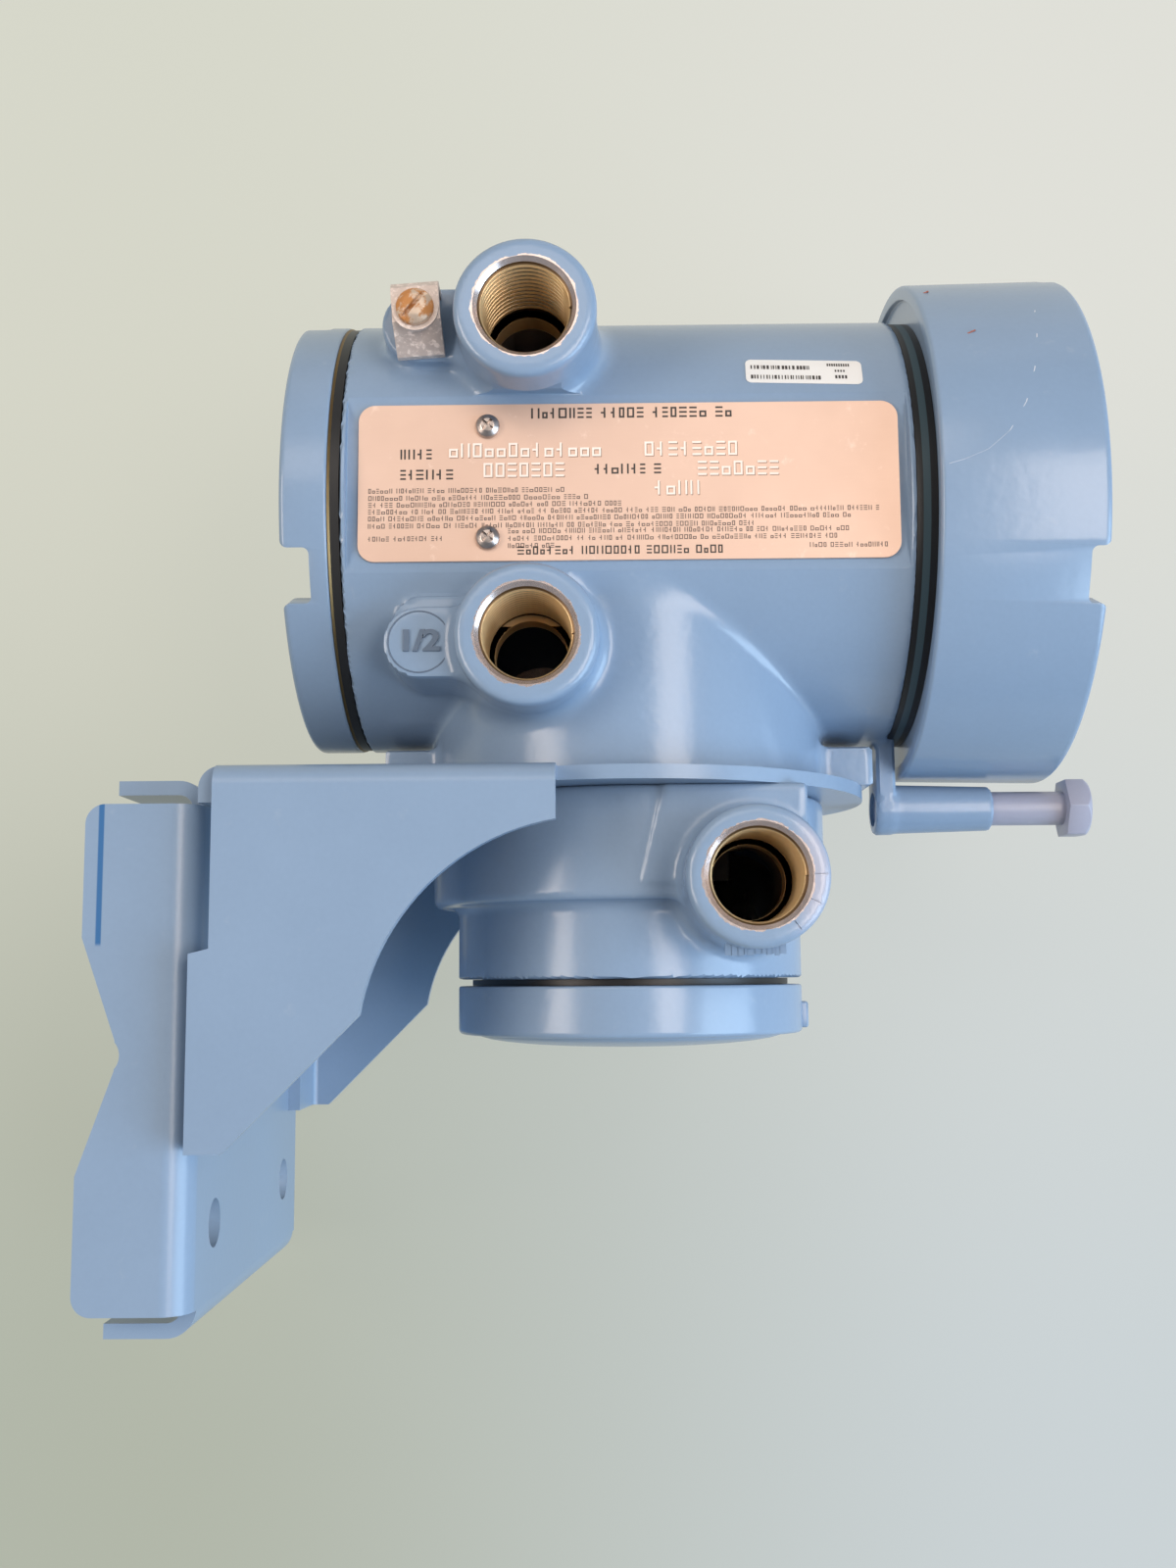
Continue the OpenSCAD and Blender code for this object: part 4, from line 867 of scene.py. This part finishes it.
def make_display_cover():
    rim, end = display_low[0], display_high[0]
    rim_r, end_r = 58.9, display_high[2]
    castle = end - 4.2
    glass_r = glass_high[2] + 0.1
    front, back = glass_high[0] + 1, glass_low[0] - 3.2
    profile = [(rim, rim_r, 1.0), (end, end_r, 1.6), (end, 52, 0.6), (castle, 52, 0.6), (castle, 36.5, 0.5),
               (front, 36.5, 0), (front, glass_r, 0), (back, glass_r, 0), (back, 48.3, 0),
               (rim + 1.2, 48.3, 0.3), (rim + 1.2, 55.7, 0.3), (rim, 55.7, 0.3)]
    piece = turned("display_end_cover", profile, "X", material=COVER_PAINT, sides=208)
    cut(piece, *castle_cutters(castle, end, end_r, 52))
    bevel(piece, 0.5, 50)
    show(piece, "display_cover", "cast_paint", "display_cover")


def make_wiring_cover():
    top, bottom = wire_cover_high[2] - 8.5, wire_cover_low[2]
    rim = bottom + 3
    r = wire_cover_high[1]
    spigot = 34.6
    dome = r - 4.5
    profile = [(bottom, 0, 0)]
    profile += [(rim - 3 * math.cos(a), dome * math.sin(a), 0) for a in (0.2, 0.4, 0.6, 0.8, 1.0, 1.2, 1.4, math.pi / 2)]
    profile += [(rim, r, 1.3), (top, r + 0.0, 0.7), (top, spigot, 0.3),
                (top + 8.5, spigot, 0.5), (top + 8.5, spigot - 4.7, 0.3), (bottom + 4, spigot - 4.7, 1.5),
                (bottom + 4, 0, 0)]
    piece = turned("wiring_end_cover", profile, "Z", material=COVER_PAINT, sides=160)
    lug = brick("lever_lug", (r - 2, -5, rim + 1), (r + 1.2, 5, rim + 7), COVER_PAINT)
    join(piece, bevel(lug, 0.6))
    show(piece, "wiring_cover", "cast_paint", "wiring_cover")


def join(piece, *others):
    """Joins pieces of one finish into the first."""
    bm = bmesh.new()
    bm.from_mesh(piece.data)
    for other in others:
        bm.from_mesh(other.data)
    bm.to_mesh(piece.data)
    bm.free()
    for other in others:
        bpy.data.objects.remove(other)
    finish_shading(piece.data)
    return piece


# ---- folded sheets ----


def make_sheets():
    bracket = even_normals(copy_of("mounting_bracket", "folded_bracket", 0.45, SHEET_PAINT))
    show(bracket, "housing", "sheet_paint", "mounting_bracket")
    saddle = even_normals(copy_of("pipe_saddle", "folded_saddle", 0.45, SHEET_PAINT))
    show(saddle, "housing", "sheet_paint", "pipe_saddle")


# ---- conduit threads ----


def thread_tree():
    """Geometry nodes: a helical ridge of round section, for the wall of a threaded hole."""
    tree = bpy.data.node_groups.new("helical thread", "GeometryNodeTree")
    for label, kind, default in (("Radius", "Float", 0.0099), ("Pitch", "Float", 0.0018), ("Length", "Float", 0.02),
                                 ("Ridge", "Float", 0.0009), ("Finish", "Material", None)):
        socket = tree.interface.new_socket(label, in_out="INPUT", socket_type="NodeSocket" + kind)
        if default is not None:
            socket.default_value = default
    tree.interface.new_socket("Thread", in_out="OUTPUT", socket_type="NodeSocketGeometry")
    given = tree.nodes.new("NodeGroupInput").outputs
    turns = maths_gn(tree, "DIVIDE", given["Length"], given["Pitch"])
    spiral = add_node(tree, "GeometryNodeCurveSpiral", {
        "Resolution": 48, "Rotations": turns, "Start Radius": given["Radius"], "End Radius": given["Radius"],
        "Height": given["Length"]})
    upright = add_node(tree, "GeometryNodeSetCurveNormal", {"Curve": spiral.outputs[0]}, mode="Z_UP")
    section = add_node(tree, "GeometryNodeCurvePrimitiveCircle", {"Resolution": 8, "Radius": given["Ridge"]})
    sweep = add_node(tree, "GeometryNodeCurveToMesh", {
        "Curve": upright.outputs[0], "Profile Curve": section.outputs[0], "Fill Caps": True})
    real = add_node(tree, "GeometryNodeRealizeInstances", {"Geometry": sweep.outputs[0]})
    dressed = add_node(tree, "GeometryNodeSetMaterial", {"Geometry": real.outputs[0], "Material": given["Finish"]})
    tree.links.new(dressed.outputs[0], tree.nodes.new("NodeGroupOutput").inputs["Thread"])
    return tree


def maths_gn(tree, operation, *values):
    return maths(tree, operation, *values)


def grown(name, tree, values):
    """Object whose mesh is grown by a geometry nodes tree from named values."""
    piece = bpy.data.objects.new(name, bpy.data.meshes.new(name))
    FITTINGS.objects.link(piece)
    growth = piece.modifiers.new("growth", "NODES")
    growth.node_group = tree
    sockets = {s.name: s.identifier for s in tree.interface.items_tree if s.in_out == "INPUT"}
    for label, value in values.items():
        growth[sockets[label]] = value
    return apply_modifiers(piece)


def make_threads():
    tree = thread_tree()
    for name, (mouth, radius, depth) in ENTRIES.items():
        thread = grown(name + "_thread", tree, {
            "Radius": radius * MM, "Pitch": 0.0018143, "Length": (depth - 3.4) * MM, "Ridge": 0.00078, "Finish": THREAD})
        place = Matrix.Translation(Vector((mouth + STEM + (0, 1.6, 0)) * MM)) @ Matrix.Rotation(-math.pi / 2, 4, "X")
        thread.data.transform(place)
        liner = turned("liner", [(0.9, radius + 0.02, 0), (0.9, radius - 0.06, 0), (depth, radius - 0.06, 0),
                                 (depth, ENTRY_CORE_R - 0.05, 0), (depth + 6, ENTRY_CORE_R - 0.05, 0),
                                 (depth + 6, ENTRY_CORE_R + 0.02, 0), (depth + 0.1, radius + 0.02, 0)],
                       "Y", mouth, THREAD, sides=96)
        join(thread, liner)
        show(thread, "housing", "machined_aluminium")


# ---- nameplate, its print and the sticker ----


def flat_marks(name, marks, y_front, y_back, material, body="housing", slot="plate_steel"):
    """One mesh of small upright slabs: (x, z, width, height) of each slab's lower left corner."""
    points, faces = [], []
    for x, z, w, h in marks:
        base = len(points)
        for y in (y_front, y_back):
            for dx, dz in ((0, 0), (w, 0), (w, h), (0, h)):
                points.append((x + dx, y, z + dz))
        for f in ((0, 1, 2, 3), (0, 4, 5, 1), (1, 5, 6, 2), (2, 6, 7, 3), (3, 7, 4, 0)):
            faces.append([base + i for i in f])
    piece = new_piece(name, (np.array(points) + STEM) * MM, faces, material)
    show(piece, body, slot)
    return piece


def dummy_glyph(draw, x, z, w, h, stroke):
    """One blank mark of the size of a letter: an open box, two posts or three bars."""
    kind = draw.random()
    posts = [(x, z, stroke, h), (x + w - stroke, z, stroke, h)]
    if kind < 0.28:
        return posts + [(x + stroke, z, w - 2 * stroke, stroke), (x + stroke, z + h - stroke, w - 2 * stroke, stroke)]
    if kind < 0.42:
        return posts
    if kind < 0.58:
        return [(x, z + i * (h - stroke) / 2, w, stroke) for i in range(3)]
    if kind < 0.76:
        return [(x + w / 2 - stroke / 2, z, stroke, h), (x, z + (h - stroke) / 2, w / 2 - stroke / 2, stroke)]
    low = h * 0.62
    return [(x, z, stroke, low), (x + w - stroke, z, stroke, low), (x + stroke, z, w - 2 * stroke, stroke),
            (x + stroke, z + low - stroke, w - 2 * stroke, stroke)]


def dummy_words(draw, x, z, length, height, space=0.6, weight=0.17):
    """Row of blank marks in word-like runs, with no letters in it."""
    marks = []
    end = x + length
    while x < end - height * 0.5:
        for _ in range(draw.randint(2, 9)):
            w = height * draw.uniform(0.5, 0.8)
            if x + w > end:
                break
            marks += dummy_glyph(draw, x, z, w, height, height * weight)
            x += w + height * 0.24
        x += height * space
    return marks


def make_nameplate_print():
    draw = random.Random(7)
    left, top = plate_low[0], plate_high[2]
    front = PLATE_FRONT

    def row(x, drop, length, height):
        return dummy_words(draw, left + x, top - drop - height, length, height)

    ink, fine = [], []
    ink += row(37, 0.9, 43, 2.3)
    ink += row(9, 9.8, 8, 2.2)
    ink += row(9, 14.3, 12.5, 2.2)
    ink += row(50.5, 13.4, 14.2, 2.2)
    for x, drop, length in ((2.2, 18.4, 42), (2.2, 20.0, 47), (2.2, 21.5, 54), (2.2, 23.0, 109), (2.2, 24.5, 103),
                            (2.2, 26.1, 83), (32, 27.4, 73), (32, 29.0, 70), (32, 30.6, 10), (2.2, 28.9, 16),
                            (96, 31.0, 17)):
        fine += row(x, drop, length, 1.05)
    ink += row(34, 31.3, 44, 1.8)
    flat_marks("plate_print", ink, front - 0.03, front + 0.02, INK)
    flat_marks("plate_fine_print", fine, front - 0.03, front + 0.02, FINE_INK)
    # The stamped marks are drawn in a pale colour as a painted highlight, with a dark copy offset down and right as a
    # painted shadow.
    stamped = []
    for x, drop, length in ((19.4, 8.6, 35), (61.2, 8.6, 20.5), (26.8, 13.0, 18), (72.5, 13.0, 20), (63.2, 17.2, 10.5)):
        for i in range(int(length / 2.55)):
            stamped += dummy_glyph(draw, left + x + i * 2.55, top - drop - 3.1, 1.9, 3.1, 0.42)
    shadows = [(x + 0.16, z - 0.16, w, h) for x, z, w, h in stamped]
    flat_marks("plate_stamping_shade", shadows, front - 0.02, front + 0.02, STAMP_SHADE)
    return flat_marks("plate_stamping", stamped, front - 0.16, front + 0.02, STAMP_HIGHLIGHT)


def make_sticker():
    """Small white label with rounded corners, laid on the barrel and turned a little."""
    low, high = stem_box("sticker")
    width, height, corner = high[0] - low[0] - 0.6, high[2] - low[2] - 0.7, 1.3
    points, faces = [], []
    slices = [height * (0.5 - 0.5 * math.cos(math.pi * i / 24)) - height / 2 for i in range(25)]
    for v in slices:
        over = max(0.0, abs(v) - height / 2 + corner)
        half = width / 2 - corner + math.sqrt(max(corner ** 2 - over ** 2, 0.0))
        base = len(points)
        for u, r in ((-half, 0.2), (half, 0.2), (half, -0.1), (-half, -0.1)):
            x, z = turned_spot(u, v, STICKER_TILT)
            x, z = x + (low[0] + high[0]) / 2, z + (low[2] + high[2]) / 2
            points.append((x, -math.sqrt((BARREL_R + r) ** 2 - z * z), z))
        if base:
            faces += [(base - 4 + i, base - 4 + (i + 1) % 4, base + (i + 1) % 4, base + i) for i in range(4)]
    faces += [(3, 2, 1, 0), (base, base + 1, base + 2, base + 3)]
    label = new_piece("sticker_label", (np.array(points) + STEM) * MM, faces, FILM_WHITE)
    outward(label.data)
    show(label, "housing", "white_film", "sticker")


def turned_spot(u, v, tilt):
    """A spot turned about the middle of the label."""
    c, s = math.cos(math.radians(tilt)), math.sin(math.radians(tilt))
    return u * c - v * s, u * s + v * c


def make_sticker_print():
    draw = random.Random(11)
    low, high = stem_box("sticker")
    marks = []
    width, height = high[0] - low[0], high[2] - low[2]
    for start, length, base in ((1.4, 12.5, 0.60), (1.4, 15.5, 0.22)):
        x = start
        while x < start + length:
            w = draw.choice((0.2, 0.3, 0.5))
            marks.append((low[0] + x, low[2] + height * base - 0.2, w, 1.1))
            x += w + draw.choice((0.2, 0.3, 0.45))
    marks += [(low[0] + 18 + 0.5 * i, low[2] + height * 0.72, 0.32, 0.8) for i in range(10)]
    marks += [(low[0] + 19.6 + 0.6 * i, low[2] + height * 0.50, 0.35, 0.6) for i in range(4)]
    marks += [(low[0] + 19.6 + 0.7 * i, low[2] + height * 0.25, 0.45, 0.9) for i in range(4)]
    draw_on_barrel("sticker_print", marks, BARREL_R + 0.24, INK, (low[0] + width / 2, low[2] + height / 2), STICKER_TILT)


def draw_on_barrel(name, marks, radius, material, centre, tilt):
    """Flat marks laid on the barrel's surface, turned a little about their centre."""
    points, faces = [], []
    c, s = math.cos(math.radians(tilt)), math.sin(math.radians(tilt))
    for x, z, w, h in marks:
        base = len(points)
        for depth in (0.0, 0.06):
            for dx, dz in ((0, 0), (w, 0), (w, h), (0, h)):
                u, v = x + dx - centre[0], z + dz - centre[1]
                px, pz = centre[0] + u * c - v * s, centre[1] + u * s + v * c
                r = radius - depth
                points.append((px, -math.sqrt(r * r - pz * pz), pz))
        for f in ((0, 1, 2, 3), (0, 4, 5, 1), (1, 5, 6, 2), (2, 6, 7, 3), (3, 7, 4, 0)):
            faces.append([base + i for i in f])
    piece = new_piece(name, (np.array(points) + STEM) * MM, faces, material)
    show(piece, "housing", "white_film")


# ---- screws and small fittings ----


def pan_head(name, spot, radius, height, base_y, material):
    """Pan head with a cross recess, facing -Y, its underside at base_y."""
    profile = [(0, 0, 0), (0, radius, 0.2), (-height * 0.55, radius, height * 0.5), (-height, radius * 0.55, 0.6),
               (-height - 0.1, 0, 0)]
    head = turned(name, profile, "Y", (spot[0], base_y, spot[1]), material, sides=48)
    blades = []
    for angle in (40, 130):
        turn = Matrix.Rotation(math.radians(angle), 4, "Y")
        blades.append(brick("cutter", (spot[0] - radius * 0.55, base_y - height - 1, spot[1] - 0.32),
                            (spot[0] + radius * 0.55, base_y - height * 0.45, spot[1] + 0.32), turn=turn))
    return cut(head, *blades)


def make_plate_screws():
    low, high = stem_box("nameplate_screws")
    x = (low[0] + high[0]) / 2
    r = (high[0] - low[0]) / 2
    heads = [pan_head("plate_screw", (x, z), r, 1.7, PLATE_FRONT, BRIGHT) for z in (low[2] + r, high[2] - r)]
    shanks = [turned("shank", [(0, 0, 0), (0, 1.5, 0), (3.6, 1.5, 0), (3.6, 0, 0)], "Y", (x, PLATE_FRONT + 0.1, z),
                     BRIGHT, sides=24) for z in (low[2] + r, high[2] - r)]
    heads[0].name = "plate_pan_screws"
    screws = join(heads[0], heads[1], *shanks)
    show(screws, "housing", "bright_screws", "nameplate_screws")


def make_ground_lug():
    low, high = stem_box("ground_screw")
    x, z = (low[0] + high[0]) / 2, (low[2] + high[2]) / 2
    clamp = copy_of("ground_clamp", "bent_ground_clamp", 0.5, ZINC, segments=3)
    pivot = Vector((np.array((x, 0, z)) + STEM) * MM)
    clamp.data.transform(Matrix.Translation(pivot) @ Matrix.Rotation(math.radians(-4), 4, "Y")
                         @ Matrix.Translation(-pivot))
    show(clamp, "housing", "zinc_steel", "ground_clamp")
    face = stem_box("ground_washer")[0][1]
    r = (high[0] - low[0]) / 2
    head = turned("slotted_ground_screw", [(0, 0, 0), (0, r, 0.3), (-1.1, r, 0.9), (-2.4, r * 0.6, 1.2), (-2.6, 0, 0)], "Y",
                  (x, face, z), RUSTY, sides=64)
    turn = Matrix.Rotation(math.radians(-50), 4, "Y")
    slot = brick("cutter", (x - r - 1, face - 4, z - 0.55), (x + r + 1, face - 1.3, z + 0.55), turn=turn)
    cut(head, slot)
    shank = turned("shank", [(0, 0, 0), (0, 2.5, 0), (high[1] - face, 2.5, 0), (high[1] - face, 0, 0)], "Y",
                   (x, face + 0.02, z), RUSTY, sides=32)
    show(join(head, shank), "housing", "rusty_steel", "ground_screw")


def make_lock_bolt():
    head_x = bolt_high[0] - 5.5
    flats = 6.5
    shank = turned("lock_bolt_shank", [(bolt_low[0], 0, 0), (bolt_low[0], 4, 0.6), (head_x + 0.5, 4, 0),
                                       (head_x + 0.5, 0, 0)], "X", (0, 0, LOCK_Z), BOLT, sides=64)
    corner = flats / math.cos(math.pi / 6)
    hexagon = turned("hex", [(head_x, 0, 0), (head_x, corner, 0), (bolt_high[0], corner, 0), (bolt_high[0], 0, 0)],
                     "X", (0, 0, LOCK_Z), BOLT, sides=6, smooth=20)
    ring = turned("cutter", [(head_x + 3.9, corner + 0.2, 0), (bolt_high[0] + 0.2, flats - 0.4, 0),
                             (bolt_high[0] + 0.2, corner + 4, 0), (head_x + 3.9, corner + 4, 0)],
                  "X", (0, 0, LOCK_Z), sides=64)
    cut(hexagon, ring)
    bevel(hexagon, 0.25, 25)
    show(join(shank, hexagon), "lock_bolt", "bolt_steel", "lock_bolt")


def make_cover_scratches():
    """Long pale scratch and two short red-brown marks on the display cover."""
    r, taper = display_high[2], 0.0171
    path = ((88.6, 38.0), (87.2, 30.0), (85.2, 21.0), (82.5, 12.9), (78.6, 6.4), (74.0, 2.4), (69.0, 0.3), (65.8, -0.6))
    points, faces = [], []
    for index, (x, z) in enumerate(path):
        for side in (-0.11, 0.11):
            for lift in (0.05, -0.5):
                rr = r + lift - (display_high[0] - x) * taper
                zz = z + side * 0.6
                points.append((x + side, -math.sqrt(rr * rr - zz * zz), zz))
        if index:
            a, b = 4 * index - 4, 4 * index
            faces += [(a, a + 2, b + 2, b), (a + 1, b + 1, b + 3, a + 3), (a, b, b + 1, a + 1), (a + 2, a + 3, b + 3, b + 2)]
    faces += [(0, 1, 3, 2), (b, b + 2, b + 3, b + 1)]
    scratch = new_piece("cover_scratch", (np.array(points) + STEM) * MM, faces, SCRATCH)
    outward(scratch.data)
    show(scratch, "display_cover", "cast_paint")
    specks = []
    for x, z, long in ((66.5, 46.5, 1.3), (72.6, 31.3, 1.9)):
        y = -math.sqrt((r - (display_high[0] - x) * taper) ** 2 - z * z)
        turn = Matrix.Rotation(math.radians(-25), 4, "Y")
        specks.append(brick("cover_speck", (x, y - 0.25, z - 0.12), (x + long, y + 0.5, z + 0.16), SPECK, turn=turn))
    show(join(*specks), "display_cover", "cast_paint")


def make_casting_flash():
    """Ragged fin of casting flash below the wiring entry."""
    draw = random.Random(5)
    x = 18.5
    fins = []
    while x < 29.5:
        w = draw.uniform(0.7, 1.6)
        drop = draw.uniform(0.5, 1.3)
        fins.append(brick("casting_flash", (x, -52.2, -100.1 - drop * 0.6), (x + w, -51.5, -98.0), CAST_PAINT))
        x += w * 0.93
    show(join(*fins), "housing", "cast_paint")


def make_size_mark():
    """Raised size figures inside a thin raised ring, on the tab beside the lower entry."""
    face = -49.5
    ring = turned("size_mark", [(0.1, 6.75, 0), (-0.12, 6.65, 0.05), (-0.12, 6.4, 0.05), (0.1, 6.3, 0)], "Y",
                  (TAB_X, face, LOWER[2]), MARK_PAINT, sides=72)
    text = bpy.data.curves.new("size_figures", "FONT")
    text.body = "1/2"
    text.size = 6.2 * MM
    text.extrude = 0.42 * MM
    text.offset = 0.12 * MM
    text.bevel_depth = 0.08 * MM
    text.align_x, text.align_y = "CENTER", "CENTER"
    text.space_character = 0.95
    figures = bpy.data.objects.new("size_figures", text)
    FITTINGS.objects.link(figures)
    graph = bpy.context.evaluated_depsgraph_get()
    mesh = bpy.data.meshes.new_from_object(figures.evaluated_get(graph), depsgraph=graph)
    bpy.data.objects.remove(figures)
    mesh.transform(Matrix.Translation(Vector((np.array([TAB_X, face, LOWER[2]]) + STEM) * MM))
                   @ Matrix.Rotation(math.pi / 2, 4, "X") @ Matrix.Scale(1.18, 4, (1, 0, 0)))
    raised = link_piece("figures", mesh, MARK_PAINT)
    show(join(ring, raised), "housing", "cast_paint")


def make_grease():
    """Old grease squeezed out beside the seal of the terminal cover."""
    x = terminal_seal_low[0]
    line = turned("seal_grease", [(x - 0.05, BARREL_R - 1.4, 0), (x - 0.05, BARREL_R - 0.12, 0.1),
                                  (x + 0.55, BARREL_R - 0.55, 0.2), (x + 0.75, BARREL_R - 1.4, 0)], "X",
                  material=GREASE, sides=160)
    show(line, "housing", "seal_rubber")


# ---- stage ----


def make_stage():
    """Pale sheet behind the part, glowing with painted light and seen from the front only, a floor's worth of world
    colour, and soft lamps.
    """
    behind = (cad_high.y + 0.004)
    centre = (cad_low + cad_high) / 2
    sheet = new_piece("backdrop", [(-2, behind, -2), (2.2, behind, -2), (2.2, behind, 2.2), (-2, behind, 2.2)],
                      [(0, 1, 2, 3)])
    finish = Finish("pale table")
    tree = finish.tree
    across = add_node(tree, "ShaderNodeSeparateXYZ", {"Vector": finish.place}).outputs
    # Painted light: the sheet glows with its own tone, darker towards the bottom and the left, so that the part's
    # shadow on it stays faint.
    side = ramp(tree, across["X"], -0.05, 0.22)
    height = ramp(tree, across["Z"], -0.12, 0.20)
    low = mixed(tree, side, (0.42, 0.45, 0.37), (0.56, 0.61, 0.62))
    high = mixed(tree, side, (0.65, 0.66, 0.57), (0.71, 0.71, 0.65))
    tone = mixed(tree, height, low, high)
    own = mixed(tree, 0.13, (0, 0, 0), tone)
    finish.set(Base_Color=own, Roughness=0.8, Emission_Color=tone, Emission_Strength=0.85)
    output = tree.nodes["Material Output"]
    clear = finish.node("ShaderNodeBsdfTransparent")
    back = finish.node("ShaderNodeNewGeometry").outputs["Backfacing"]
    choice = finish.node("ShaderNodeMixShader", {"Fac": back})
    tree.links.new(finish.shader.outputs[0], choice.inputs[1])
    tree.links.new(clear.outputs[0], choice.inputs[2])
    tree.links.new(choice.outputs[0], output.inputs["Surface"])
    sheet.data.materials.append(finish.material)
    world = bpy.data.worlds.new("room")
    bpy.context.scene.world = world
    world.use_nodes = True
    shade = world.node_tree.nodes["Background"]
    tree = world.node_tree
    path = add_node(tree, "ShaderNodeLightPath").outputs
    seen = maths(tree, "MAXIMUM", path["Is Camera Ray"], path["Is Transmission Ray"])
    put(tree, shade.inputs["Color"], mixed(tree, seen, (0.76, 0.84, 0.96), (0.70, 0.74, 0.68)))
    put(tree, shade.inputs["Strength"], maths(tree, "ADD", 0.26, maths(tree, "MULTIPLY", seen, 0.69)))
    lamps = (("left window", (-0.94, -0.88, 0.05), (0.42, 0.9), 8.5, (1.0, 0.87, 0.77)),
             ("right window", (0.54, -1.18, 0.05), (0.42, 0.9), 8.2, (1.0, 0.88, 0.79)),
             ("front", (-0.25, -1.35, 0.75), (1.0, 0.5), 3.5, (1.0, 0.88, 0.78)),
             ("low right fill", (1.20, -0.58, -0.38), (1.0, 1.0), 21.0, (0.58, 0.78, 1.0)),
             ("overhead", (0.10, -0.30, 1.40), (1.2, 0.7), 1.2, (1.0, 0.94, 0.86)),
             ("rear left", (-1.0, 0.9, 0.8), (0.9, 0.9), 5.0, (1.0, 0.98, 0.96)),
             ("rear right", (1.1, 0.9, 0.3), (0.9, 0.9), 5.0, (0.96, 0.98, 1.0)))
    for name, spot, size, power, colour in lamps:
        light = bpy.data.lights.new(name, "AREA")
        light.shape, light.size, light.size_y = "RECTANGLE", size[0], size[1]
        light.energy, light.color = power, colour
        lamp = bpy.data.objects.new(name, light)
        lamp.location = centre + Vector(spot)
        lamp.rotation_mode = "QUATERNION"
        lamp.rotation_quaternion = (-Vector(spot)).to_track_quat("-Z", "Y")
        bpy.context.scene.collection.objects.link(lamp)


def make_camera():
    """Camera nearly level with the bracket, looking slightly up at the barrel."""
    yaw, pitch, roll = (math.radians(a) for a in (-0.47, 7.02, -0.42))
    forward = Vector((math.sin(yaw) * math.cos(pitch), math.cos(yaw) * math.cos(pitch), math.sin(pitch)))
    right = Vector((math.cos(yaw), -math.sin(yaw), 0))
    up = right.cross(forward)
    side = right * math.cos(roll) + up * math.sin(roll)
    over = -right * math.sin(roll) + up * math.cos(roll)
    data = bpy.data.cameras.new("camera")
    data.lens, data.sensor_width, data.sensor_fit = 35.92, 36, "AUTO"
    data.clip_start, data.clip_end = 0.01, 20
    camera = bpy.data.objects.new("camera", data)
    turn = Matrix((side, over, -forward)).transposed().to_4x4()
    camera.matrix_world = Matrix.Translation((0.08456, -0.37088, 0.01498)) @ turn
    bpy.context.scene.collection.objects.link(camera)
    bpy.context.scene.camera = camera


finish_nodes()
make_camera()
make_main_housing()
make_wiring_housing()
make_terminal_cover()
make_display_cover()
make_wiring_cover()
make_sheets()
make_threads()
make_nameplate_print()
make_sticker()
make_sticker_print()
make_plate_screws()
make_ground_lug()
make_lock_bolt()
make_cover_scratches()
make_casting_flash()
make_size_mark()
make_grease()
make_stage()
bpy.context.scene.view_settings.view_transform = "Standard"
